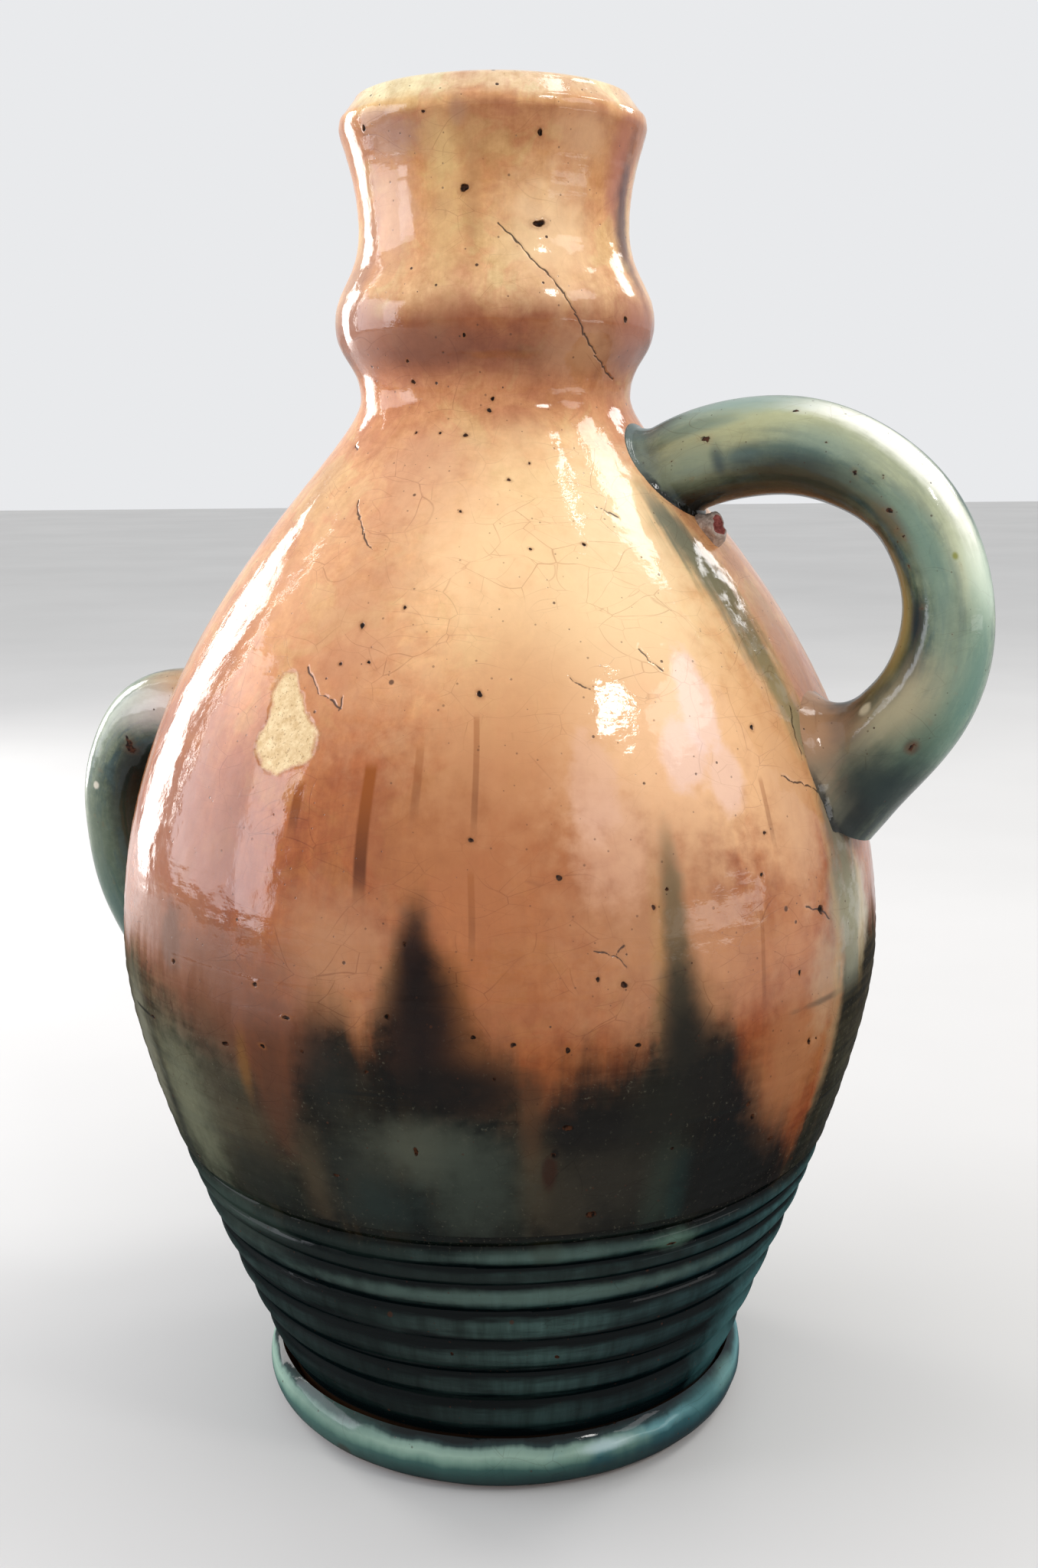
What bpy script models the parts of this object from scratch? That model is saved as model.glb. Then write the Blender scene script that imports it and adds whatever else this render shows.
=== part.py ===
"""A two-handled stoneware vase, put together the way a potter does it.

The body is thrown in three sections, a ribbed lower body with its floor, a smooth upper body and a
waisted neck with a rolled lip, which sit on each other at bevelled joints. A coil is added round the
base as a foot ring. Two round handles, one high on the right and one low on the left, are cut to the
curve of the wall and held by a luting of clay round each root. Metres, +Z up, origin at the centre of
the flat base. The right handle points forward of +X and the left one points behind -X.
"""
import math

import bmesh
import bpy
import numpy as np
from mathutils import Vector

# Thrown wall, and the clearance that each joint keeps
WALL_T = 0.0060
NECK_WALL_T = 0.0062
FLOOR_T = 0.0080
FLOOR_FILLET_R = 0.0120
JOINT_GAP = 0.0003
JOINT_BEVEL_H = 0.0024

# Foot ring: a round coil, flat underneath, which stands out from the wall that it is pressed against
FOOT_SECTION_R = 0.0069
FOOT_STAND_OUT = 0.0026
FOOT_JOIN_H = 0.0120
FOOT_JOIN_R = 0.0520
BASE_DRAW_IN = 0.0075

# Ribbed lower body, from the foot ring up to the first joint
RIBBED_H = 0.0540
RIB_DEPTH = 0.0011
RIB_TOP_DROP = 0.0026
FINE_RIBS = 2
FINE_RIB_PITCH = 0.0048
WIDE_RIBS = 4
WIDE_RIB_PITCH = 0.0080

# Belly and shoulder: the rise of each arc, the radius it reaches, and how far its ends run straight
BELLY_RISE = 0.0410
BELLY_R = 0.0820
BELLY_LOWER_PULL = 0.0286
SHOULDER_RISE = 0.1130
SHOULDER_PULL = 0.0651
NECK_ROOT_R = 0.0284
NECK_ROOT_PULL = 0.0112

# Neck: collar, waist and rolled lip
COLLAR_RISE = 0.0150
COLLAR_R = 0.0333
COLLAR_PULL = 0.0072
WAIST_RISE = 0.0190
WAIST_R = 0.0280
WAIST_PULL = 0.0100
LIP_RISE = 0.0189
LIP_R = 0.0315
LIP_ROLL_R = 0.0071
LIP_INNER_ROLL_R = 0.0032

# Right handle, set high: roots on the shoulder and on the belly
RIGHT_AZIMUTH = math.radians(-25.0)
RIGHT_UPPER_BELOW_NECK = 0.0155
RIGHT_UPPER_ANGLE = math.radians(26.9)
RIGHT_UPPER_PULL = 0.0346
RIGHT_LOWER_ABOVE_BELLY = 0.0360
RIGHT_LOWER_ANGLE = math.radians(51.7)
RIGHT_LOWER_PULL = 0.0164
RIGHT_REACH = 0.0136
RIGHT_TOP_ABOVE_BELLY = 0.0700
RIGHT_RISE_PULL = 0.0229
RIGHT_FALL_PULL = 0.0168

# Left handle, set low: roots just above and just below the widest line
LEFT_AZIMUTH = math.radians(150.0)
LEFT_UPPER_ABOVE_BELLY = 0.0400
LEFT_UPPER_ANGLE = math.radians(15.8)
LEFT_UPPER_PULL = 0.0276
LEFT_LOWER_BELOW_BELLY = 0.0265
LEFT_LOWER_ANGLE = math.radians(18.9)
LEFT_LOWER_PULL = 0.0195
LEFT_REACH = 0.0285
LEFT_TOP_ABOVE_BELLY = 0.0160
LEFT_RISE_PULL = 0.0126
LEFT_FALL_PULL = 0.0215

# Rolled clay of the handles, and the luting pressed round each root
UPPER_ROOT_R = 0.0100
GRIP_R = 0.0090
LOWER_ROOT_R = 0.0112
LUTING_SPREAD = 0.0042
LUTING_EDGE = 0.0009
LUTING_REACH = 0.0100
ROOT_DEPTH = 0.0160

# Facets
TURN_STEPS = 48
ARC_POINTS = 40
BELLY_RINGS = 6
SHOULDER_RINGS = 16
NECK_RINGS = 18
INSIDE_RINGS = 10
ROLL_STEPS = 5
RIB_POINTS = 4
HANDLE_ARC_RINGS = 15
HANDLE_SIDES_HALF = 5

# Radii and heights worked out from the sizes above
BASE_R = FOOT_JOIN_R - BASE_DRAW_IN
FOOT_RING_R = FOOT_JOIN_R + FOOT_STAND_OUT
LOWER_JOINT_Z = FOOT_JOIN_H + RIBBED_H
BELLY_Z = LOWER_JOINT_Z + BELLY_RISE
NECK_JOINT_Z = BELLY_Z + SHOULDER_RISE
COLLAR_Z = NECK_JOINT_Z + COLLAR_RISE
WAIST_Z = COLLAR_Z + WAIST_RISE
LIP_Z = WAIST_Z + LIP_RISE
TOP_Z = LIP_Z + LIP_ROLL_R


def remove_everything():
    for obj in list(bpy.data.objects):
        bpy.data.objects.remove(obj, do_unlink=True)


def new_collection(name):
    collection = bpy.data.collections.new(name)
    bpy.context.scene.collection.children.link(collection)
    return collection


def glaze(name, colour, roughness):
    material = bpy.data.materials.new(name)
    material.use_nodes = True
    shader = material.node_tree.nodes["Principled BSDF"]
    shader.inputs["Base Color"].default_value = (*colour, 1.0)
    shader.inputs["Roughness"].default_value = roughness
    shader.inputs["Metallic"].default_value = 0.0
    return material


def bezier(start, start_pull, end_pull, end, count):
    """Points of a cubic arc that leaves start and reaches end along the given pulls."""
    t = np.linspace(0.0, 1.0, count)[:, None]
    a, d = np.array(start), np.array(end)
    b, c = a + np.array(start_pull), d + np.array(end_pull)
    return (1 - t) ** 3 * a + 3 * (1 - t) ** 2 * t * b + 3 * (1 - t) * t**2 * c + t**3 * d


def arc(centre, radius, start, end, steps):
    """Points of a circle's arc, from one angle to another, in degrees."""
    angles = [math.radians(start + (end - start) * i / steps) for i in range(steps + 1)]
    return [(centre[0] + radius * math.cos(a), centre[1] + radius * math.sin(a)) for a in angles]


def wall_line():
    """The smooth outside of the thrown wall, without its ribs, as radius and height from foot to lip."""
    foot = (FOOT_JOIN_R, FOOT_JOIN_H)
    belly = (BELLY_R, BELLY_Z)
    root = (NECK_ROOT_R, NECK_JOINT_Z)
    collar = (COLLAR_R, COLLAR_Z)
    waist = (WAIST_R, WAIST_Z)
    lip = (LIP_R, LIP_Z)
    arcs = [
        bezier(foot, (0.0, FOOT_SECTION_R / 2), (0.0, -BELLY_LOWER_PULL), belly, ARC_POINTS),
        bezier(belly, (0.0, SHOULDER_PULL), (0.0, -NECK_ROOT_PULL), root, ARC_POINTS),
        bezier(root, (0.0, COLLAR_PULL), (0.0, -COLLAR_PULL), collar, ARC_POINTS),
        bezier(collar, (0.0, COLLAR_PULL), (0.0, -WAIST_PULL), waist, ARC_POINTS),
        bezier(waist, (0.0, WAIST_PULL), (0.0, -LIP_ROLL_R / 4), lip, ARC_POINTS),
    ]
    return np.vstack([points[1:] if i else points for i, points in enumerate(arcs)])


WALL_LINE = wall_line()
WALL_SLOPE = np.gradient(WALL_LINE[:, 0], WALL_LINE[:, 1])


def wall_radius(z):
    return float(np.interp(z, WALL_LINE[:, 1], WALL_LINE[:, 0]))


def wall_tilt(z):
    """How much longer a horizontal cut through the wall is than its thickness."""
    return math.hypot(1.0, float(np.interp(z, WALL_LINE[:, 1], WALL_SLOPE)))


def inside_radius(z):
    return wall_radius(z) - WALL_T * wall_tilt(z)


def rib_grooves():
    """Heights of the grooves between the throwing ribs, from the top one down."""
    heights = [LOWER_JOINT_Z - RIB_TOP_DROP]
    for _ in range(FINE_RIBS):
        heights.append(heights[-1] - FINE_RIB_PITCH)
    for _ in range(WIDE_RIBS):
        heights.append(heights[-1] - WIDE_RIB_PITCH)
    return [z for z in heights if z > FOOT_JOIN_H + WIDE_RIB_PITCH / 2]


def heights_between(low, high, count):
    return [low + (high - low) * i / count for i in range(count + 1)]


def even_heights(low, high, count):
    """Heights whose points on the wall lie the same distance apart along it."""
    inside = (WALL_LINE[:, 1] > low) & (WALL_LINE[:, 1] < high)
    line = np.vstack([[wall_radius(low), low], WALL_LINE[inside], [wall_radius(high), high]])
    along = np.concatenate([[0.0], np.cumsum(np.hypot(*np.diff(line, axis=0).T))])
    return [float(z) for z in np.interp(np.linspace(0.0, along[-1], count + 1), along, line[:, 1])]


def upper_heights(low):
    """Heights of the upper body's outer rings, one of which is the widest line."""
    belly = even_heights(low, BELLY_Z, BELLY_RINGS)
    return belly + even_heights(BELLY_Z, NECK_JOINT_Z, SHOULDER_RINGS)[1:]


def ribbed_outside():
    """Outside of the lower body, from its joint down to the foot ring: soft ridges between the grooves."""
    grooves = rib_grooves()
    points = [(wall_radius(LOWER_JOINT_Z), LOWER_JOINT_Z)]
    for upper, lower in zip(grooves, grooves[1:] + [FOOT_JOIN_H]):
        for i in range(RIB_POINTS):
            z = upper + (lower - upper) * i / RIB_POINTS
            depth = RIB_DEPTH * (1 + math.cos(2 * math.pi * i / RIB_POINTS)) / 2
            points.append((wall_radius(z) - depth, z))
    points.append((FOOT_JOIN_R, FOOT_JOIN_H))
    return points


def turned(name, profile, collection, closed=True):
    """A profile of radius and height, turned about Z by a Screw modifier."""
    mesh = bpy.data.meshes.new(name)
    last = len(profile) - 1
    edges = [(i, i + 1) for i in range(last)]
    if closed:
        edges.append((last, 0))
    mesh.from_pydata([(r, 0.0, z) for r, z in profile], edges, [])
    obj = bpy.data.objects.new(name, mesh)
    collection.objects.link(obj)
    screw = obj.modifiers.new("turn", "SCREW")
    screw.axis = "Z"
    screw.angle = 2 * math.pi
    screw.steps = TURN_STEPS
    screw.render_steps = TURN_STEPS
    screw.use_merge_vertices = True
    screw.merge_threshold = 0.00001
    return obj


def evaluated_mesh(obj):
    graph = bpy.context.evaluated_depsgraph_get()
    graph.update()
    return bpy.data.meshes.new_from_object(obj.evaluated_get(graph))


def tube(name, line, radii, collection):
    """A round tube with closed ends along a line, made as a bevelled curve and turned into a mesh."""
    data = bpy.data.curves.new(name, "CURVE")
    data.dimensions = "3D"
    data.bevel_depth = GRIP_R
    data.bevel_resolution = HANDLE_SIDES_HALF
    data.use_fill_caps = True
    spline = data.splines.new("POLY")
    spline.points.add(len(line) - 1)
    for point, place, radius in zip(spline.points, line, radii):
        point.co = (*place, 1.0)
        point.radius = radius / GRIP_R
    curve = bpy.data.objects.new(name + "_line", data)
    collection.objects.link(curve)
    mesh = evaluated_mesh(curve)
    mesh.name = name
    shell = bmesh.new()
    shell.from_mesh(mesh)
    bmesh.ops.remove_doubles(shell, verts=shell.verts, dist=0.00001)
    bmesh.ops.recalc_face_normals(shell, faces=shell.faces)
    shell.to_mesh(mesh)
    shell.free()
    obj = bpy.data.objects.new(name, mesh)
    obj.matrix_world = curve.matrix_world
    collection.objects.link(obj)
    bpy.data.objects.remove(curve, do_unlink=True)
    return obj


def cut(obj, cutter):
    boolean = obj.modifiers.new("cut_by_" + cutter.name, "BOOLEAN")
    boolean.operation = "DIFFERENCE"
    boolean.solver = "EXACT"
    boolean.object = cutter


def make_cutter(obj):
    obj.hide_render = True
    obj.display_type = "WIRE"
    return obj


def foot_ring(collection):
    """Coil round the base: its inner cone sits on the wall, and its outside is a rounded bead."""
    lean = math.atan2(FOOT_JOIN_R - BASE_R, FOOT_JOIN_H)
    seat_gap = JOINT_GAP / math.cos(lean)
    centre = (FOOT_RING_R - FOOT_SECTION_R, FOOT_SECTION_R)
    seat_top = (FOOT_JOIN_R + seat_gap, FOOT_JOIN_H)
    start = math.degrees(math.atan2(seat_top[1] - centre[1], seat_top[0] - centre[0]))
    bead = arc(centre, FOOT_SECTION_R, start, -90.0, 2 * ROLL_STEPS)
    return turned("foot_ring", [seat_top, *bead, (BASE_R + seat_gap, 0.0)], collection)


def joint_faces(z, width):
    """Drop of a bevelled joint on its inner side, and the height of its gap measured upright."""
    slope = JOINT_BEVEL_H / width
    return z - JOINT_BEVEL_H, JOINT_GAP * math.hypot(1.0, slope)


def lower_body(collection):
    """Ribbed bowl with a flat floor, whose rim is bevelled down to the inside for the upper body."""
    rim_inside_z, _ = joint_faces(LOWER_JOINT_Z, WALL_T * wall_tilt(LOWER_JOINT_Z))
    fillet_top = FLOOR_T + FLOOR_FILLET_R
    corner_r = inside_radius(fillet_top)
    centre = (corner_r - FLOOR_FILLET_R, fillet_top)
    inside = [(0.0, FLOOR_T), *arc(centre, FLOOR_FILLET_R, -90.0, 0.0, ROLL_STEPS)]
    heights = heights_between(fillet_top, rim_inside_z, INSIDE_RINGS)[1:]
    inside += [(inside_radius(z), z) for z in heights]
    profile = [*inside, *ribbed_outside(), (BASE_R, 0.0), (0.0, 0.0)]
    return turned("lower_body", profile, collection, closed=False)


def upper_body(collection):
    """Smooth belly and shoulder: it sits on the ribbed bowl and carries the neck on a bevelled rim."""
    foot_inside_z, gap = joint_faces(LOWER_JOINT_Z, WALL_T * wall_tilt(LOWER_JOINT_Z))
    rim_inside_z, _ = joint_faces(NECK_JOINT_Z, NECK_WALL_T)
    outside = [(wall_radius(z), z) for z in reversed(upper_heights(LOWER_JOINT_Z + gap))]
    heights = even_heights(foot_inside_z + gap, rim_inside_z, INSIDE_RINGS)
    inside = [(max(inside_radius(z), NECK_ROOT_R - NECK_WALL_T), z) for z in heights]
    return turned("upper_body", [*outside, *inside], collection)


def neck(collection):
    """Waisted neck with a raised collar and a rolled lip, thrown round a nearly even bore."""
    foot_inside_z, gap = joint_faces(NECK_JOINT_Z, NECK_WALL_T)
    low = NECK_JOINT_Z + gap
    roll_r = LIP_R - LIP_ROLL_R
    lip = arc((roll_r, LIP_Z), LIP_ROLL_R, 90.0, 0.0, ROLL_STEPS)
    outside = [(wall_radius(z), z) for z in reversed(even_heights(low, LIP_Z, NECK_RINGS))][1:]
    root_r = NECK_ROOT_R - NECK_WALL_T
    waist_r = WAIST_R - NECK_WALL_T
    inner_roll = arc((roll_r, TOP_Z - LIP_INNER_ROLL_R), LIP_INNER_ROLL_R, 180.0, 90.0, ROLL_STEPS)
    inside = [(root_r, foot_inside_z + gap), (waist_r, COLLAR_Z), (waist_r, WAIST_Z), *inner_roll[:-1]]
    return turned("neck", [*lip, *outside, *inside], collection)


def wall_envelope(collection):
    """The whole wall's outside, grown by the joint gap: it cuts the handles and their lutings."""
    heights = even_heights(FOOT_JOIN_H, LOWER_JOINT_Z, BELLY_RINGS)
    heights += upper_heights(LOWER_JOINT_Z)[1:]
    heights += even_heights(NECK_JOINT_Z, COLLAR_Z, BELLY_RINGS)[1:]
    outside = [(wall_radius(z) + JOINT_GAP * wall_tilt(z), z) for z in reversed(heights)]
    profile = [(0.0, COLLAR_Z), *outside, (0.0, FOOT_JOIN_H)]
    return make_cutter(turned("wall_envelope", profile, collection, closed=False))


def handle_line(azimuth, upper_z, upper_angle, upper_pull, lower_z, lower_angle, lower_pull, top):
    """Middle line of a handle in its own upright plane, from inside the wall round and back inside.

    top holds the loop's outermost radius, its height there, and its upright pulls above and below.
    """
    reach_r, top_z, rise_pull, fall_pull = top
    upper = np.array((wall_radius(upper_z), upper_z))
    lower = np.array((wall_radius(lower_z), lower_z))
    upper_way = np.array((math.cos(upper_angle), math.sin(upper_angle)))
    lower_way = np.array((math.cos(lower_angle), math.sin(lower_angle)))
    outer = (reach_r, top_z)
    rise = bezier(upper, upper_way * upper_pull, (0.0, rise_pull), outer, HANDLE_ARC_RINGS)
    fall = bezier(outer, (0.0, -fall_pull), lower_way * lower_pull, lower, HANDLE_ARC_RINGS)
    flat = np.vstack([upper - upper_way * ROOT_DEPTH, rise, fall[1:], lower - lower_way * ROOT_DEPTH])
    return [Vector((r * math.cos(azimuth), r * math.sin(azimuth), z)) for r, z in flat]


def right_handle_line():
    return handle_line(
        RIGHT_AZIMUTH,
        NECK_JOINT_Z - RIGHT_UPPER_BELOW_NECK,
        RIGHT_UPPER_ANGLE,
        RIGHT_UPPER_PULL,
        BELLY_Z + RIGHT_LOWER_ABOVE_BELLY,
        RIGHT_LOWER_ANGLE,
        RIGHT_LOWER_PULL,
        (BELLY_R + RIGHT_REACH, BELLY_Z + RIGHT_TOP_ABOVE_BELLY, RIGHT_RISE_PULL, RIGHT_FALL_PULL),
    )


def left_handle_line():
    return handle_line(
        LEFT_AZIMUTH,
        BELLY_Z + LEFT_UPPER_ABOVE_BELLY,
        LEFT_UPPER_ANGLE,
        LEFT_UPPER_PULL,
        BELLY_Z - LEFT_LOWER_BELOW_BELLY,
        LEFT_LOWER_ANGLE,
        LEFT_LOWER_PULL,
        (BELLY_R + LEFT_REACH, BELLY_Z + LEFT_TOP_ABOVE_BELLY, LEFT_RISE_PULL, LEFT_FALL_PULL),
    )


def handle_radii(line):
    """Thickness of the rolled clay: fuller at the roots, the lower one most, and slimmer in the grip."""
    steps = [(b - a).length for a, b in zip(line, line[1:])]
    along = np.concatenate([[0.0], np.cumsum(steps)]) / sum(steps)
    grip = (1 - np.cos(2 * np.pi * along)) / 2
    root = UPPER_ROOT_R + (LOWER_ROOT_R - UPPER_ROOT_R) * along
    return [float(r) for r in root + (GRIP_R - root) * grip]


def distances_from(line, root):
    """Distance of each point of a handle's line from one of its roots, measured along the line."""
    steps = [(b - a).length for a, b in zip(line, line[1:])]
    along = [sum(steps[:i]) for i in range(len(line))]
    return [abs(s - along[root]) for s in along]


def luting(name, line, radii, upper, envelopes, collection):
    """Clay pressed round one root of a handle, wide on the wall and thin up the handle."""
    order = list(range(len(line))) if upper else list(range(len(line) - 1, -1, -1))
    places = [line[i] for i in order]
    handle_r = [radii[i] for i in order]
    away = distances_from(places, 1)
    points, widths = [places[0]], [handle_r[0] + LUTING_SPREAD]
    for place, radius, s in zip(places[1:], handle_r[1:], away[1:]):
        if s > LUTING_REACH:
            break
        share = (1 - s / LUTING_REACH) ** 2
        points.append(place)
        widths.append(radius + JOINT_GAP + LUTING_EDGE + (LUTING_SPREAD - LUTING_EDGE) * share)
    obj = tube(name, points, widths, collection)
    for envelope in envelopes:
        cut(obj, envelope)
    return obj


def handle(side, line, wall, parts, cutters):
    """A handle cut to the wall, and the luting round its upper and its lower root."""
    radii = handle_radii(line)
    rod = tube(side + "_handle", line, radii, parts)
    cut(rod, wall)
    sleeve = tube(side + "_handle_envelope", line, [r + JOINT_GAP for r in radii], cutters)
    make_cutter(sleeve)
    upper = luting(side + "_upper_luting", line, radii, True, (wall, sleeve), parts)
    lower = luting(side + "_lower_luting", line, radii, False, (wall, sleeve), parts)
    return rod, upper, lower


def main():
    remove_everything()
    parts = new_collection("two_handled_vase")
    cutters = new_collection("cutters")
    wall = wall_envelope(cutters)
    right = handle("right", right_handle_line(), wall, parts, cutters)
    left = handle("left", left_handle_line(), wall, parts, cutters)
    finishes = (
        ((foot_ring(parts),), glaze("celadon_foot", (0.34, 0.46, 0.41), 0.16)),
        ((lower_body(parts),), glaze("teal_ribs", (0.05, 0.12, 0.13), 0.18)),
        ((upper_body(parts),), glaze("apricot_belly", (0.60, 0.30, 0.15), 0.14)),
        ((neck(parts),), glaze("cream_neck", (0.62, 0.40, 0.26), 0.14)),
        ((right[0], left[0]), glaze("grey_green_handle", (0.27, 0.36, 0.31), 0.16)),
        ((*right[1:], *left[1:]), glaze("dark_luting", (0.20, 0.22, 0.19), 0.20)),
    )
    for objects, material in finishes:
        for obj in objects:
            obj.data.materials.append(material)
            for polygon in obj.data.polygons:
                polygon.use_smooth = True


main()
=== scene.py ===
import math

import bmesh
import bpy
import numpy as np
from mathutils import Matrix


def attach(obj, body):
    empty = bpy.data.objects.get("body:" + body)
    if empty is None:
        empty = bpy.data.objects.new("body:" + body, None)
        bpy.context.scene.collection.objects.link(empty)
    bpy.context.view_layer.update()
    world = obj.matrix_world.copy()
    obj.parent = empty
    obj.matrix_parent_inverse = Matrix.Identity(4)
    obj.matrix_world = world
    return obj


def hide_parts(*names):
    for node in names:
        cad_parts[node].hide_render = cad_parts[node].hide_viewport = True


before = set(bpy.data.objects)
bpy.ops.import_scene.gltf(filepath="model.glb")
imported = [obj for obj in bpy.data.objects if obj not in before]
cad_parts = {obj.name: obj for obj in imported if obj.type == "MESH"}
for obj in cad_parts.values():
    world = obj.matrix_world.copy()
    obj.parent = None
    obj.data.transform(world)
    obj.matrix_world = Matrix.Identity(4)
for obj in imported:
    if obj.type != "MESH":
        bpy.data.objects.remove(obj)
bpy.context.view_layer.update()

# Ribbed bowl
# The lower part of the pot: a thick thrown bowl of brown stoneware whose outside keeps the potter's
# finger ribs. It is dipped in dark teal glaze, which pools black in the grooves and thins on the ribs.
MM = 0.001
WALL_T = 6
NECK_WALL_T = 6.2
FLOOR_T = 8
FLOOR_FILLET_R = 12
SKIN_INSET = 0.25
BASE_R = 44.5
BOWL_TOP = 66
# How far the joint between two sections falls from the outside to the inside
JOINT_FALL = 2.4

# The joints and turning points of the wall, as radius and height
FOOT_JOIN = (52, 12)
BELLY = (82, 107)
NECK_ROOT = (28.4, 220)
COLLAR = (33.3, 235)
WAIST = (28, 254)
LIP = (31.5, 272.9)
# The arcs between them: each leaves one and reaches the next upright, with these two pulls
WALL_ARCS = (
    (FOOT_JOIN, 3.45, 28.6, BELLY), (BELLY, 65.1, 11.2, NECK_ROOT), (NECK_ROOT, 7.2, 7.2, COLLAR),
    (COLLAR, 7.2, 10, WAIST), (WAIST, 10, 1.8, LIP),
)

GROOVES = (63.4, 58, 53.8, 46.5, 38, 30, 21.9, 12)
GROOVE_DEPTH = 1.15
GROOVE_WANDER = 0.5
# Above this height the wall is smoothed over, and below it the rings of the throwing are left
SMOOTH_FROM = 116
COLUMNS = 512


def bezier(start, start_pull, end_pull, end, count):
    """Points of a cubic arc that leaves start and reaches end along the given pulls."""
    t = np.linspace(0, 1, count)[:, None]
    a, d = np.array(start), np.array(end)
    b, c = a + np.array(start_pull), d + np.array(end_pull)
    return (1 - t) ** 3 * a + 3 * (1 - t) ** 2 * t * b + 3 * (1 - t) * t**2 * c + t**3 * d


def arc(centre, radius, start, end, steps):
    """Points of a circle's arc, from one angle to another, in degrees."""
    angles = np.radians(np.linspace(start, end, steps + 1))
    return np.stack([centre[0] + radius * np.cos(angles), centre[1] + radius * np.sin(angles)], 1)


arcs = [bezier(start, (0, leave), (0, -reach), end, 400)[1:] for start, leave, reach, end in WALL_ARCS]
WALL = np.vstack([FOOT_JOIN, *arcs])
WALL_SLOPE = np.gradient(WALL[:, 0], WALL[:, 1])


def wall_radius(z):
    """Radius of the outside of the wall at a height."""
    return np.interp(z, WALL[:, 1], WALL[:, 0])


def wall_tilt(z):
    """How much longer a level cut through the wall is than its thickness."""
    return np.hypot(1, np.interp(z, WALL[:, 1], WALL_SLOPE))


def waves(azimuth, z, *terms):
    """A sum of ripples: each term is its size, its turns round the pot, its turn per mm and its start."""
    turn = np.radians(azimuth)
    return sum(size * np.sin(turns * turn + climb * z + start) for size, turns, climb, start in terms)


def ribs(azimuth, z):
    """How far the throwing ribs stand out at each place: 0 in a groove and 1 on a rib."""
    height = z + GROOVE_WANDER * waves(azimuth, z, (1, 1, 0, 0.4), (0.6, 3, 0, 1.9), (0.3, 7, 0, 4))
    share = np.zeros_like(z)
    for upper, lower in zip(GROOVES, GROOVES[1:]):
        inside = (height <= upper) & (height >= lower)
        across = (height - lower) / (upper - lower)
        share = np.where(inside, np.sin(np.pi * np.clip(across, 0, 1) ** 1.3), share)
    top = np.clip((height - GROOVES[0]) / 3, 0, 1)
    return np.where(height > GROOVES[0], np.sin(np.pi / 2 * top) ** 0.8, share)


def hand_marks(azimuth, z):
    """Small unevenness of a pot thrown by hand, in millimetres."""
    bowing = waves(azimuth, z, (0.1, 2, 0.013, 0.7), (0.06, 3, -0.02, 2.1), (0.04, 5, 0.03, 5))
    rings = waves(azimuth, z, (0.03, 1, 2.1, 0), (0.025, -1, 1.27, 1), (0.02, 2, 3.3, 2))
    low = 1 / (1 + np.exp((z - SMOOTH_FROM) / 4))
    return bowing + rings * (0.35 + 1.2 * low)


def join_rings(mesh, upper, lower):
    """Faces between two rings of points. A ring may be one point, repeated."""
    for corners in zip(upper, lower, lower[1:] + lower[:1], upper[1:] + upper[:1]):
        corners = list(dict.fromkeys(corners))
        if len(corners) > 2:
            mesh.faces.new(corners)


def turned_mesh(rows, columns=COLUMNS):
    """Turns rows of radius, height and outside (1) or inside (0) about Z, as a closed shell.

    A row at radius 0 is a single point. The first row follows the last where neither is such a point.
    """
    mesh = bmesh.new()
    layer = mesh.verts.layers.float.new("outside")
    turns = np.arange(columns) * 2 * np.pi / columns
    rings = []
    for radius, height, outside in rows:
        angles = turns if radius > 0 else turns[:1]
        ring = [mesh.verts.new((radius * np.sin(a), -radius * np.cos(a), height)) for a in angles]
        for vert in ring:
            vert[layer] = outside
        rings.append(ring if radius > 0 else ring * columns)
    for upper, lower in zip(rings, rings[1:]):
        join_rings(mesh, upper, lower)
    if rows[0][0] > 0:
        join_rings(mesh, rings[-1], rings[0])
    return mesh


def places_of(mesh):
    """Place, azimuth in degrees from the front, height and outside share of each point of a turned mesh."""
    co = np.array([v.co for v in mesh.verts])
    layer = mesh.verts.layers.float["outside"]
    outside = np.array([v[layer] for v in mesh.verts])
    return co, np.degrees(np.arctan2(co[:, 0], -co[:, 1])), co[:, 2], outside


def offsets(azimuth, z, at_azimuth, at_z):
    """Millimetres across and up from a place on the wall to each point."""
    turn = (azimuth - at_azimuth + 180) % 360 - 180
    return np.radians(turn) * wall_radius(at_z), (z - at_z) * wall_tilt(at_z)


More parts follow.
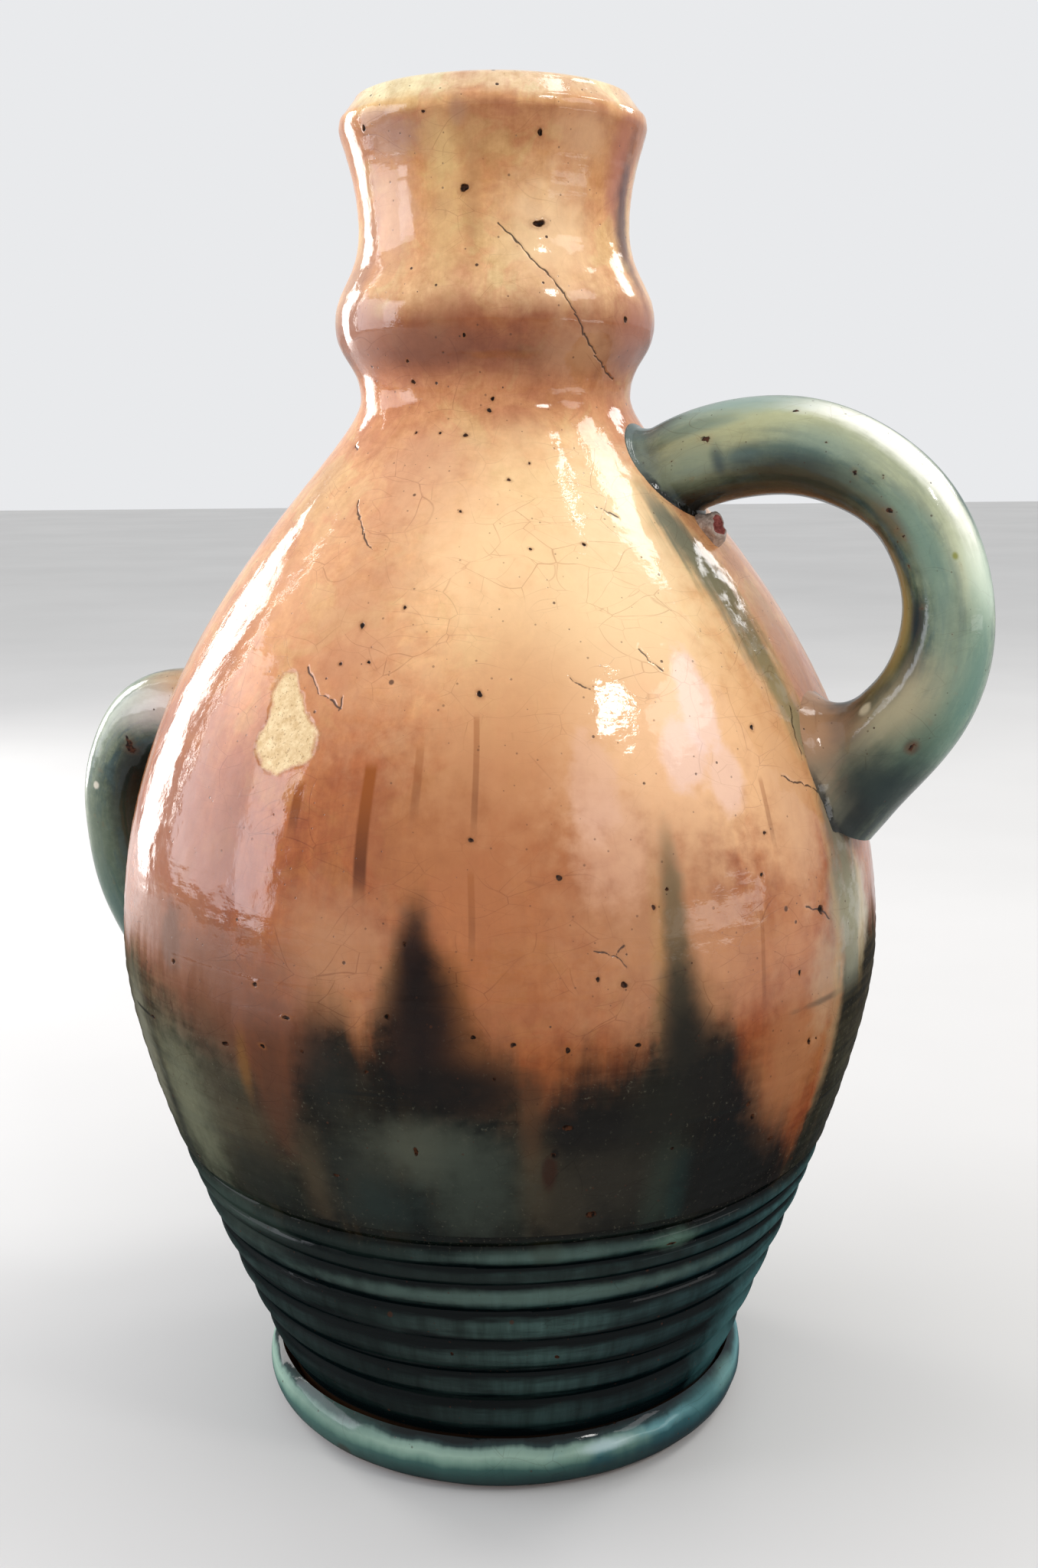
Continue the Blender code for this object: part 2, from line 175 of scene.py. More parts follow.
# Burst bubbles and grit that burned out of the clay: most are brown-black holes with a glassy rim. Azimuth
# and height, then half width, half height and depth in hundredths of a millimetre.
PITS = (
    (-11.3, 258.4, 75, 79, 63), (17.4, 268.1, 54, 58, 54), (18.3, 251.9, 116, 65, 72),
    (-10.4, 231, 34, 36, 36), (-34.2, 222.7, 48, 43, 36), (-34.4, 226.6, 34, 36, 27),
    (-1.2, 219.2, 41, 36, 45), (-2.5, 217, 48, 43, 27), (-24.7, 272, 34, 29, 27),
    (-53.7, 270.8, 48, 65, 36), (51.3, 234.4, 54, 72, 36), (-10.5, 212.3, 68, 36, 36),
    (-19.8, 212.8, 34, 29, 27), (-29.2, 212.9, 34, 29, 27), (10, 206.9, 27, 29, 27),
    (3.5, 203.9, 41, 36, 27), (-9, 198.2, 34, 29, 27), (19.5, 192, 41, 36, 36), (7.2, 191.4, 34, 29, 27),
    (-17.5, 181.3, 41, 36, 36), (-25, 178, 41, 72, 36), (-22, 171.8, 34, 36, 27),
    (-27.2, 171.3, 34, 36, 27), (-3, 166.8, 48, 58, 45), (42.5, 158, 41, 58, 36),
    (-3.9, 142.5, 61, 36, 45), (7.5, 135.9, 61, 50, 18), (37.5, 132.3, 41, 36, 27),
    (39.4, 139.5, 41, 36, 27), (19.9, 129.6, 41, 43, 27), (22, 132.5, 34, 36, 27),
    (-12.2, 124.6, 41, 43, 27), (49.2, 122.8, 88, 94, 63), (12, 117.9, 41, 43, 36),
    (15.4, 116.5, 68, 58, 45), (-33.6, 114.1, 48, 50, 36), (-50.5, 113.8, 54, 58, 45),
    (-14.4, 111.4, 61, 43, 45), (43.5, 112.3, 41, 50, 36), (-28.6, 109, 75, 36, 36),
    (-3.6, 108.3, 41, 43, 36), (1.3, 106.8, 54, 43, 36), (8.1, 105.4, 48, 50, 36),
    (17.2, 105.2, 75, 36, 36), (-26.4, 103, 34, 36, 27), (-32.7, 102.5, 48, 43, 36),
    (-39.6, 100.9, 88, 50, 45), (-17.5, 100.6, 41, 36, 36), (-1.1, 100.4, 34, 36, 27),
    (-58.6, 99.5, 122, 36, 45), (46.9, 97.3, 48, 79, 45), (48.8, 97.2, 27, 29, 27), (8.3, 90, 95, 65, 45),
    (35.8, 88.2, 48, 65, 36), (37.1, 85, 54, 65, 45), (-11.7, 85, 41, 94, 45), (6.6, 84.4, 41, 50, 36),
    (23.7, 82.5, 34, 36, 36), (42.9, 77.8, 88, 43, 45), (-24.2, 77.3, 61, 36, 36),
    (12.5, 70.2, 88, 79, 63), (52.2, 68.8, 54, 43, 36), (-58.3, 68.5, 95, 36, 36), (9.5, 34.5, 48, 43, 36),
    (-10, 35.5, 34, 43, 27), (27.5, 59, 102, 50, 45), (96, 121, 82, 65, 45), (131, 174, 61, 79, 45),
    (170, 148, 54, 58, 45), (-167, 117, 82, 50, 45), (-142, 186, 48, 50, 36), (-101, 99, 68, 58, 45),
    (151, 252, 61, 65, 54), (-171, 226, 41, 43, 36), (-84, 158, 48, 58, 36), (118, 86, 68, 50, 45),
    (-125, 79, 61, 50, 36), (160, 93, 48, 58, 36),
)

# Hairline and firing cracks, as azimuth and height along each: the first runs aslant down the neck
CRACKS = (
    ((2, 252), (8.9, 248.4), (14.4, 245.3), (19.4, 242.3), (24.4, 238.8), (28, 235), (32.2, 231.3),
     (40, 227.6), (47, 225.4), (56, 223)),
    ((-39.5, 200), (-36, 196.9), (-32.5, 194), (-29, 191.4)),
    ((-33.5, 170.4), (-31.5, 168), (-29.6, 165.9), (-26.6, 164.8), (-25.2, 163.6)),
    ((-25.3, 165.8), (-25.5, 163.4)), ((24.6, 173.4), (26, 171.6), (28, 169.4)),
    ((26, 198.6), (29, 197.6), (31, 196.6)), ((11.4, 169.2), (14.5, 167)),
    ((11.6, 122.8), (14.4, 121.9), (15.6, 123.4)), ((14.4, 121.9), (15.8, 119.5)),
    ((45.8, 124.2), (49.2, 122.8), (51.6, 120.3)), ((46, 148.6), (48.6, 147), (51, 146.2), (54.4, 144.2)),
    ((55, 160.2), (53.4, 156.4), (52.8, 150.4)), ((-57, 210.4), (-54, 209.6)),
    ((128, 150), (134, 146), (139, 145), (143, 141.5)),
    ((-152, 238), (-158, 231), (-161, 222), (-166, 214)),
)
CRACK_HALF_WIDTH = 0.22
CRACK_DEPTH = 0.25

# A place on the left of the shoulder that the glaze crawled back from: a teardrop between two round ends
BALD_TOP = (-36.8, 167.8)
BALD_TOP_R = 2.3
BALD_FOOT = (-33.8, 157.4)
BALD_FOOT_R = 6.5
BALD_DEPTH = 0.1


def pit_shape(azimuth, z):
    """Depth of the burst bubbles at each point, in mm, and how many half widths away the nearest one is."""
    depth = np.zeros_like(z)
    nearest = np.full_like(z, 4)
    for at_azimuth, at_z, *sizes in PITS:
        half_width, half_height, deep = np.array(sizes) / 100
        near = np.abs(z - at_z) < 10
        across, up = offsets(azimuth[near], z[near], at_azimuth, at_z)
        angle = np.arctan2(up, across)
        ragged = 1 + 0.14 * np.sin(2 * angle + at_z) + 0.09 * np.sin(3 * angle + at_azimuth)
        away = np.hypot(across / half_width, up / half_height) / ragged
        bowl = np.clip(1 - away**2, 0, 1) ** 0.8
        rim = 0.14 * np.exp(-(((away - 1.25) / 0.22) ** 2))
        depth[near] += deep * (bowl - rim)
        nearest[near] = np.minimum(nearest[near], away)
    return depth, nearest


def crack_distance(azimuth, z):
    """Distance of each point to the nearest crack, in millimetres, up to 3."""
    distance = np.full_like(z, 3)
    for line in CRACKS:
        for (a0, z0), (a1, z1) in zip(line, line[1:]):
            near = np.abs(z - (z0 + z1) / 2) < 10
            across, up = offsets(azimuth[near], z[near], a0, z0)
            way = np.array(offsets(a1, z1, a0, z0))
            length = np.hypot(*way)
            way /= length
            along = np.clip(across * way[0] + up * way[1], 0, length)
            wobble = 0.16 * np.sin(1.1 * along + z0) + 0.08 * np.sin(2.7 * along + a0)
            off = np.hypot(across - along * way[0] - wobble * way[1], up - along * way[1] + wobble * way[0])
            distance[near] = np.minimum(distance[near], off)
    return distance


def bald_distance(azimuth, z):
    """Signed distance to the edge of the bald place, in millimetres, negative on it."""
    across, up = offsets(azimuth, z, *BALD_TOP)
    span = np.array(offsets(*BALD_FOOT, *BALD_TOP))
    share = np.clip((across * span[0] + up * span[1]) / span.dot(span), 0, 1)
    off = np.hypot(across - share * span[0], up - share * span[1])
    angle = np.arctan2(up + 6, across - 3)
    radius = BALD_TOP_R + (BALD_FOOT_R - BALD_TOP_R) * share
    return off - radius + 0.3 * np.sin(4 * angle + 0.5) + 0.2 * np.sin(9 * angle + 1)


def refine(mesh, reach=0.9, cuts=3):
    """Splits the faces of the outside near each flaw, so that its shape is in the mesh."""
    mesh.faces.ensure_lookup_table()
    layer = mesh.verts.layers.float["outside"]
    centres = np.array([f.calc_center_median() for f in mesh.faces])
    outside = np.array([min(v[layer] for v in f.verts) for f in mesh.faces]) > 0.5
    azimuth, z = np.degrees(np.arctan2(centres[:, 0], -centres[:, 1])), centres[:, 2]
    wanted = (crack_distance(azimuth, z) < reach) | (np.abs(bald_distance(azimuth, z)) < reach * 0.8)
    for at_azimuth, at_z, half_width, half_height, _ in PITS:
        across, up = offsets(azimuth, z, at_azimuth, at_z)
        wanted |= np.hypot(across / (half_width / 100 + reach), up / (half_height / 100 + reach)) < 1
    edges = {e for i in np.flatnonzero(wanted & outside) for e in mesh.faces[i].edges}
    bmesh.ops.subdivide_edges(mesh, edges=list(edges), cuts=cuts, use_grid_fill=True)


def finished_piece(name, mesh, places, marks):
    """Makes a smooth object of a bmesh, with its points at places in mm and each mark as a number on them."""
    for vert, place in zip(mesh.verts, np.array(places) * MM):
        vert.co = place
    data = bpy.data.meshes.new(name)
    mesh.to_mesh(data)
    mesh.free()
    for mark, values in marks.items():
        layer = data.attributes.get(mark) or data.attributes.new(mark, "FLOAT", "POINT")
        layer.data.foreach_set("value", np.asarray(values, np.float32))
    data.shade_smooth()
    data.set_sharp_from_angle(angle=math.radians(50))
    piece = bpy.data.objects.new(name, data)
    bpy.context.scene.collection.objects.link(piece)
    return piece


def thrown_piece(name, rows, ribbed=False):
    """A thrown section, with its hand marks and flaws as shape, and marks for its glaze."""
    mesh = turned_mesh(rows)
    refine(mesh)
    co, azimuth, z, outside = places_of(mesh)
    pits, pit = pit_shape(azimuth, z)
    crack = crack_distance(azimuth, z)
    bald_edge = np.clip(bald_distance(azimuth, z), -3, 3)
    bald = np.clip(0.5 - bald_edge / 0.5, 0, 1)
    groove = np.clip(1 - crack / (1.6 * CRACK_HALF_WIDTH), 0, 1)
    rib = ribs(azimuth, z) if ribbed else np.ones_like(z)
    worn = 1 + waves(azimuth, z, (0.22, 1, 0.31, 0.3), (0.16, 2, -0.43, 2), (0.08, 5, 0.2, 1.1))
    depth = SKIN_INSET - hand_marks(azimuth, z) + pits + CRACK_DEPTH * groove + BALD_DEPTH * bald
    depth += GROOVE_DEPTH * (1 - rib) * worn
    radius = np.hypot(co[:, 0], co[:, 1])
    scale = np.where(radius > 1, (radius - depth * outside) / np.maximum(radius, 1), 1)
    shown = outside > 0.5
    marks = {
        "marked": np.ones_like(z), "rib": rib, "inside": 1 - outside, "pit": np.where(shown, pit, 4),
        "crack": np.where(shown, crack, 3), "bald": np.where(shown, bald_edge, 3),
    }
    return finished_piece(name, mesh, co * np.stack([scale, scale, np.ones_like(z)], 1), marks)


def outside_rows(top, bottom, spacing):
    """Rows down the outside of the wall, close together at both ends."""
    heights = {top - 0.15, top - 0.4, bottom + 0.4, bottom + 0.15}
    heights.update(np.linspace(top, bottom, int(abs(top - bottom) / spacing) + 1))
    return [(wall_radius(z), z, 1) for z in sorted(heights, reverse=True)]


def inside_rows(bottom, top, count):
    """Rows up the inside of the wall."""
    return [(wall_radius(z) - WALL_T * wall_tilt(z), z, 0) for z in np.linspace(bottom, top, count)]


def inner(points):
    """Points of radius and height as rows of the inside."""
    return [(radius, height, 0) for radius, height in points]


fillet_top = FLOOR_T + FLOOR_FILLET_R
fillet_centre = (inside_rows(fillet_top, fillet_top, 1)[0][0] - FLOOR_FILLET_R, fillet_top)
bowl_rows = inner([(0, FLOOR_T), (20, FLOOR_T), *arc(fillet_centre, FLOOR_FILLET_R, -90, 0, 8)])
bowl_rows += inside_rows(fillet_top + 3, BOWL_TOP - JOINT_FALL, 16)
bowl_rows += outside_rows(BOWL_TOP, FOOT_JOIN[1], 0.36)
bowl_rows += inner([(BASE_R + 3.4, 5), (BASE_R, 0), (BASE_R - 1.5, 0), (20, 0), (0, 0)])
bowl = thrown_piece("ribbed_bowl", bowl_rows, ribbed=True)


class Value:
    """An output of a node. Arithmetic on it adds nodes to the tree that is being built."""

    tree = None

    def __init__(self, socket):
        self.socket = socket

    def __getattr__(self, name):
        """Another output of the same node."""
        return Value(self.socket.node.outputs[name])

    def step(self, operation, *others):
        """The result of a math node on this and other values, or of a vector math node on vectors."""
        vector = self.socket.type == "VECTOR" or any(isinstance(other, tuple) for other in others)
        kind = "ShaderNodeVectorMath" if vector else "ShaderNodeMath"
        return add(kind, self, *others, operation=operation)

    def __abs__(self):
        return self.step("ABSOLUTE")

    def __add__(self, other):
        return self.step("ADD", other)

    def __sub__(self, other):
        return self.step("SUBTRACT", other)

    def __rsub__(self, other):
        return add("ShaderNodeMath", other, self, operation="SUBTRACT")

    def __mul__(self, other):
        """A product. That of two colours is how one tints the other."""
        if self.socket.type == "RGBA" and isinstance(other, Value):
            return blend(1, self, other, "MULTIPLY")
        return self.step("MULTIPLY", other)

    def __truediv__(self, other):
        return self.step("DIVIDE", other)

    def __rtruediv__(self, other):
        return add("ShaderNodeMath", other, self, operation="DIVIDE")


def plug(node, inputs):
    """Puts a number or another node's output in each input, given by name or number."""
    for key, value in inputs.items():
        if isinstance(value, Value):
            Value.tree.links.new(value.socket, node.inputs[key])
        elif value is not None:
            node.inputs[key].default_value = value


def add(kind, *inputs, **settings):
    """Adds a node with its settings and inputs, and gives its first output."""
    node = Value.tree.nodes.new(kind)
    count = len(Value.tree.nodes)
    node.location = (190 * (count % 14), -260 * (count // 14))
    for key, value in settings.items():
        setattr(node, key, value)
    plug(node, dict(enumerate(inputs)))
    return Value(node.outputs[0]) if node.outputs else node


def paint(colour):
    """A colour of 0 to 255 as the eye sees it, in the linear values that a shader takes."""
    if isinstance(colour, Value):
        return colour
    shares = np.array(colour) / 255
    linear = np.where(shares <= 0.04045, shares / 12.92, ((shares + 0.055) / 1.055) ** 2.4)
    return (*linear, 1)


def blend(share, below, above, mode="MIX"):
    """The colour above laid over the one below."""
    node = add("ShaderNodeMix", data_type="RGBA", blend_type=mode).socket.node
    plug(node, {0: share, 6: paint(below), 7: paint(above)})
    return Value(node.outputs[2])


def ease(value, low, high, to_low=0, to_high=1):
    """A soft step from to_low at low to to_high at high."""
    return add("ShaderNodeMapRange", value, low, high, to_low, to_high, interpolation_type="SMOOTHSTEP")


def fade(value, low, high):
    """A soft step from 1 at low to 0 at high."""
    return ease(value, low, high, 1, 0)


def ramp(value, *stops):
    """A colour for each value, from stops of value and colour."""
    low, high = stops[0][0], stops[-1][0]
    ramped = add("ShaderNodeValToRGB", add("ShaderNodeMapRange", value, low, high))
    elements = ramped.socket.node.color_ramp.elements
    for index, (place, colour) in enumerate(stops):
        position = (place - low) / (high - low)
        element = elements[index] if index < 2 else elements.new(position)
        element.position = position
        element.color = paint(colour)
    return ramped


def curve(value, top, points):
    """A smooth curve through points of value and result, for results up to top."""
    low, high = points[0][0], points[-1][0]
    curved = add("ShaderNodeFloatCurve", 1, add("ShaderNodeMapRange", value, low, high))
    mapping = curved.socket.node.mapping
    for index, (place, result) in enumerate(points):
        x, y = (place - low) / (high - low), result / top
        if index < 2:
            mapping.curves[0].points[index].location = (x, y)
        else:
            mapping.curves[0].points.new(x, y)
    mapping.update()
    return curved * top


def noise(vector, scale, detail=3, roughness=0.55):
    """An even grain of about 0.2 to 0.8, whose mean is 0.5."""
    return add("ShaderNodeTexNoise", vector, None, scale, detail, roughness)


def shaken(vector, scale, detail, reach):
    """A vector that wanders by up to about reach, to be added to another."""
    return noise(vector, scale, detail, 0.5).Color * (reach, reach, reach)


def mark(name):
    """A number that the mesh holds on every point."""
    return add("ShaderNodeAttribute", attribute_name=name).Fac


def effect(name, **inputs):
    """Starts a node group for an effect that more than one material uses, and gives its inputs."""
    Value.tree = bpy.data.node_groups.new(name, "ShaderNodeTree")
    for label, value in inputs.items():
        kind = {1: "Float", 3: "Vector", 4: "Color"}[np.size(value)]
        socket = Value.tree.interface.new_socket(label, in_out="INPUT", socket_type="NodeSocket" + kind)
        socket.default_value = value
    return add("NodeGroupInput")


def give(**outputs):
    """Ends the node group, with its outputs."""
    for label, value in outputs.items():
        kind = {"VALUE": "Float", "VECTOR": "Vector", "RGBA": "Color"}[value.socket.type]
        Value.tree.interface.new_socket(label, in_out="OUTPUT", socket_type="NodeSocket" + kind)
    plug(add("NodeGroupOutput"), outputs)


def use(group, **inputs):
    """Places a group, with its inputs by name."""
    placed = add("ShaderNodeGroup", node_tree=bpy.data.node_groups[group])
    plug(placed.socket.node, inputs)
    return placed


# Where a point lies on the pot: azimuth in degrees from the front, height in mm, a vector in mm for even
# grain, and one that is drawn out along the height, for whatever ran down the wall
NO_VECTOR = (0, 0, 0)
effect("place_on_pot")
place = add("ShaderNodeTexCoord").Object
parts = add("ShaderNodeSeparateXYZ", place)
turn = parts.X.step("ARCTAN2", parts.Y * -1).step("DEGREES")
rim = (place * (1, 1, 0)).step("NORMALIZE") * (70, 70, 70)
give(azimuth=turn, height=parts.Z * 1000, skin=place * (1000, 1000, 1000), run=rim + place * (0, 0, 110))

# One soft cloud of another tint in the glaze, ragged by a grain
spot = effect("soft_spot", across=0, up=0, grain=0.5, half_across=5, half_up=5, soft=0.6)
side, rise = spot.across / spot.half_across, spot.up / spot.half_up
away = (side * side + rise * rise).step("SQRT") + (spot.grain - 0.5) * 1.1
give(mask=fade(away, 1 - spot.soft, spot.soft + 1))

# Craze lines: the fine net of cracks in the glaze, in patches
net = effect("crazing", skin=NO_VECTOR, cell=5, line=0.03)
bent = (shaken(net.skin, 0.05, 1, 14) + net.skin) * (0.6, 0.6, 1.3)
edge = add("ShaderNodeTexVoronoi", bent, None, 1 / net.cell, feature="DISTANCE_TO_EDGE")
patches = ease(noise(net.skin, 0.035, 2), 0.38, 0.6, 0.15, 1)
patches = patches * ease(noise(net.skin, 0.12, 2, 0.5), 0.34, 0.52)
give(mask=fade(edge, 0, net.line) * patches)

# Specks: small grains of iron and pinholes, one in some of the cells
grain = effect("specks", skin=NO_VECTOR, spacing=6, size=0.06, share=0.3)
cells = add("ShaderNodeTexVoronoi", grain.skin, None, 1 / grain.spacing)
pick = add("ShaderNodeSeparateColor", cells.Color)
reach = grain.size * (pick.Green + 0.4)
give(mask=pick.Red.step("LESS_THAN", grain.share) * fade(cells, reach * 0.6, reach))

# The glazes of the whole pot. Above, an apricot coat that changes with height, whose tints hold painted light
# and shade. Below, a dark teal coat whose upper edge ran and was drawn up in flames: FLAME_LINE is its height
# round the pot, in degrees and mm.
FLAME_LINE = (
    (-180, 104), (-172, 116), (-166, 101), (-158, 97), (-150, 122), (-146, 104), (-138, 99), (-130, 112),
    (-122, 104), (-112, 98), (-104, 118), (-99, 100), (-90, 103), (-80, 108), (-72, 106), (-66, 107),
    (-60, 108), (-52, 107), (-46, 106), (-41, 105), (-38, 103), (-35, 93), (-31.5, 90), (-28.5, 98),
    (-26, 104), (-23, 108), (-20, 105), (-17.8, 100), (-16.6, 102), (-15.4, 109), (-14, 117), (-12.6, 122),
    (-11, 125), (-9.4, 123), (-7.4, 117.5), (-4.6, 109.5), (-2, 104), (0, 101), (1.6, 97), (3.4, 91),
    (5, 89), (6.4, 92), (8.4, 96), (11, 97.5), (14, 96), (17, 97), (19.2, 102), (20.3, 117), (21.3, 131),
    (22.2, 136), (23.4, 127), (25, 116), (27, 109), (29, 104), (31, 99), (34, 92), (38, 84), (42, 78),
    (46, 72.5), (49, 67.5), (51.4, 70), (53.4, 84), (55.2, 102), (57, 107), (62, 108), (70, 110),
    (76, 108), (84, 104), (92, 101), (99, 109), (104, 128), (108, 108), (118, 99), (126, 103), (133, 118),
    (139, 101), (150, 97), (158, 112), (164, 130), (169, 109), (180, 104),
)
# How black the top of that coat is round the pot, from 0, grey-green, to 1, nearly black
FLAME_DARK = (
    (-180, 0.8), (-150, 0.95), (-125, 0.5), (-104, 0.9), (-90, 0.4), (-66, 0.1), (-60, 0.3), (-54, 0.05),
    (-46, 0.3), (-38, 0.35), (-31, 0.55), (-26, 0.9), (-20, 0.8), (-15, 0.95), (-8, 1), (-1, 0.95),
    (4, 0.6), (8, 0.95), (14, 0.9), (20, 0.85), (26, 0.9), (32, 1), (45, 1), (50, 0.9), (56, 0.6),
    (64, 0.45), (75, 0.4), (104, 0.95), (125, 0.5), (133, 0.9), (150, 0.6), (164, 1), (180, 0.8),
)
# Tints by height in mm, and for FLAME by the mm below the line. The apricot tints are partly painted light
# and
# shade: lighter on the shoulder, the top of the collar and the flat of the lip, and darker towards the belly,
# under the collar and under the lip roll.
APRICOT_WITH_PAINTED_LIGHT = (
    (96, (158, 100, 62)), (118, (178, 114, 70)), (138, (188, 120, 72)), (150, (204, 140, 90)),
    (164, (230, 174, 124)), (182, (250, 206, 158)), (206, (250, 208, 162)), (215, (238, 190, 144)),
    (222, (214, 164, 124)), (228, (146, 98, 70)), (234, (176, 124, 86)), (240, (255, 230, 190)),
    (248, (250, 210, 162)), (258, (236, 194, 142)), (268, (204, 158, 114)), (272.6, (196, 150, 110)),
    (274.2, (240, 202, 154)), (276.4, (255, 244, 214)), (280, (255, 246, 222)),
)
FLAME = (
    (-16, (160, 102, 64)), (-10, (132, 84, 54)), (-5, (92, 60, 42)), (0, (46, 33, 28)), (5, (20, 16, 15)),
    (12, (13, 12, 11)), (30, (15, 16, 13)), (45, (27, 32, 27)), (64, (14, 26, 25)),
)
GREY_GREEN = (
    (12, (12, 30, 32)), (62, (30, 44, 38)), (70, (62, 72, 60)), (84, (104, 106, 88)),
    (104, (108, 104, 84)), (118, (116, 112, 90)), (135, (150, 146, 122)),
)
WHITE = (255, 255, 255)

pot = effect("pot_glazes", azimuth=0, height=0, skin=NO_VECTOR, run=NO_VECTOR)
skin, run = pot.skin, pot.run
line = curve(pot.azimuth + (noise(skin, 0.16) - 0.5) * 4, 150, FLAME_LINE)
below = line + (noise(run, 0.35, 4) - 0.5) * 14 - pot.height
coat = ramp(pot.height + (noise(skin, 0.09) - 0.5) * 5, *APRICOT_WITH_PAINTED_LIGHT)
bent = shaken(skin, 0.06, 2, 22) + skin
coat = coat * ramp(noise(bent, 0.055, 4, 0.6), (0.42, (240, 210, 196)), (0.5, (255, 238, 220)),
                   (0.53, (250, 226, 210)), (0.6, (255, 255, 236)))
drift = shaken(skin, 0.03, 2, 9) + run
drawn = ramp(noise(drift * (1, 1, 0.3), 0.75, 5, 0.7), (0.32, (222, 208, 196)), (0.68, (255, 255, 252)))
streaks = ramp(noise(drift, 0.11, 4, 0.6), (0.25, (218, 204, 202)), (0.5, (252, 248, 244)),
               (0.75, (255, 255, 236)))
streaked = ease(pot.height, 140, 178, 0.9, 0.3)
coat = blend(streaked * 0.8, coat, drawn, "MULTIPLY")
coat = blend(streaked, coat, streaks, "MULTIPLY")
clouds = ramp(noise(skin, 0.035), (0.3, (226, 212, 204)), (0.7, WHITE))
coat = blend(ease(pot.height, 271, 276, 0.9, 0.3), coat, clouds, "MULTIPLY")
mottle = ramp(noise(skin, 0.3, 6, 0.75), (0.34, (226, 214, 200)), (0.66, WHITE))
fine = noise(run, 0.22, 5, 0.7)
green = ramp(pot.height, *GREY_GREEN) * ramp(fine, (0.3, (176, 176, 168)), (0.7, (255, 255, 250)))
under = blend(curve(pot.azimuth, 1, FLAME_DARK), green, ramp(below + (fine - 0.5) * 8, *FLAME))
under = under * ramp(noise(skin, 0.11, 5, 0.65), (0.34, (150, 150, 146)), (0.64, WHITE)) * drawn * mottle
under = blend(ease(noise(run, 0.13, 4, 0.6), 0.52, 0.7, 0, 0.45), under, (56, 44, 28))
under = under * ramp(noise(skin * (0.02, 0.02, 0.8), 1, 3, 0.6), (0.3, (176, 174, 168)), (0.7, WHITE))
scored = noise(skin * (0.012, 0.012, 0.45), 1, 2, 0.5)
under = blend(ease(scored, 0.6, 0.66, 0, 0.55), under, (10, 14, 13))
under = blend(ease(noise(skin, 1.1, 3, 0.7), 0.6, 0.74) * 0.2, under, (150, 146, 124))
covered = ease(below, -15, 1)
give(color=blend(covered, coat * mottle, under), dark=covered)

# What time and the kiln left in any of the glazes: pits, cracks, craze lines, specks and bare clay
glaze = effect("glaze_flaws", color=(1, 1, 1, 1), skin=NO_VECTOR, craze=0.3, halo=0.4, speck=0.8, peel=0.045,
               shine=0.8)
skin = glaze.skin
rough_edge = noise(skin, 1.6, 2) - 0.5
# a piece without such marks reads 0 for each of them, so they count only where it is marked
marked = mark("marked").step("GREATER_THAN", 0.5)
halo = fade(mark("pit") + rough_edge * 1.2, 0.9, 2.6) * marked
pit = fade(mark("pit") + rough_edge * 0.5, 0.85, 1.15) * marked
crack_width = ease(noise(skin, 0.35, 2), 0.3, 0.7, 0.08, 0.21)
crack = fade((mark("crack") + rough_edge * 0.12) / crack_width, 0.7, 1.5) * marked
bald_edge = mark("bald") + (noise(skin, 0.35, 4, 0.6) - 0.5) * 3.4
bald = fade(bald_edge, -0.9, 0.4) * marked
bald_rim = fade(abs(bald_edge - 0.1), 0.05, 0.6) * marked
net = use("crazing", skin=skin, cell=8.5, line=0.01)
net = net.step("MAXIMUM", use("crazing", skin=skin, cell=4.6, line=0.013) * 0.6)
dots = use("specks", skin=skin, spacing=4.2, size=0.075, share=0.5)
dots = dots.step("MAXIMUM", use("specks", skin=skin, spacing=12, size=0.045, share=0.45))
dots = dots.step("MAXIMUM", use("specks", skin=skin, spacing=2, size=0.11, share=0.6) * 0.6) * glaze.speck
colour = blend(net * glaze.craze, glaze.color, (150, 104, 84), "MULTIPLY")
colour = blend(dots, colour, (58, 34, 22))
colour = blend(mark("inside"), colour, ramp(noise(skin, 0.08), (0.3, (120, 78, 48)), (0.7, (164, 116, 76))))
bare = ramp(noise(skin, 0.5, 5, 0.75), (0.32, (204, 170, 122)), (0.68, (242, 218, 174)))
bare = blend(ease(noise(skin, 1.9, 2), 0.6, 0.66) * 0.5, bare, (140, 102, 66))
colour = blend(bald_rim * 0.35, colour, (150, 104, 66))
colour = blend(bald, colour, bare)
colour = blend(halo * glaze.halo, colour, (140, 84, 40))
colour = blend(crack * 0.85, colour, (40, 25, 20))
colour = blend(pit, colour, ramp(noise(skin, 1.4, 2), (0.4, (24, 16, 12)), (0.6, (74, 44, 28))))
rough = pit.step("MAXIMUM", crack) * 0.4 + bald * 0.22 + ease(noise(skin, 0.09), 0.3, 0.7, 0.05, 0.11)
relief = (noise(skin, 0.3, 4, 0.5) + noise(skin, 0.1, 2) * 3.4) * glaze.peel
relief = relief + noise(skin, 2.2, 2) * (bald * 0.05 + 0.0012) + noise(skin * (0.03, 0.03, 0.55), 1) * 0.03
shine = glaze.shine * (1 - bald * 0.85) * (1 - pit * 0.6)
give(color=colour, roughness=rough, relief=relief - net * 0.004 - dots * 0.05, shine=shine)


def new_material(name):
    """A material whose nodes are to be built next."""
    material = bpy.data.materials.new(name)
    material.use_nodes = True
    Value.tree = material.node_tree
    return material


def glaze_material(name):
    """Starts a glaze: coloured clay below a glossy coat, with a bump that takes its height in millimetres.

    Gives the material, and where each point lies on the pot.
    """
    material = new_material(name)
    bump = add("ShaderNodeBump", 1, 0.001)
    coat = {"Specular IOR Level": 0, "Coat IOR": 1.5, "Normal": bump, "Coat Normal": bump}
    plug(material.node_tree.nodes["Principled BSDF"], coat)
    return material, use("place_on_pot")


def pot_coat(place):
    """The glazes of the whole pot at a place on it."""
    return use("pot_glazes", azimuth=place.azimuth, height=place.height, skin=place.skin, run=place.run)


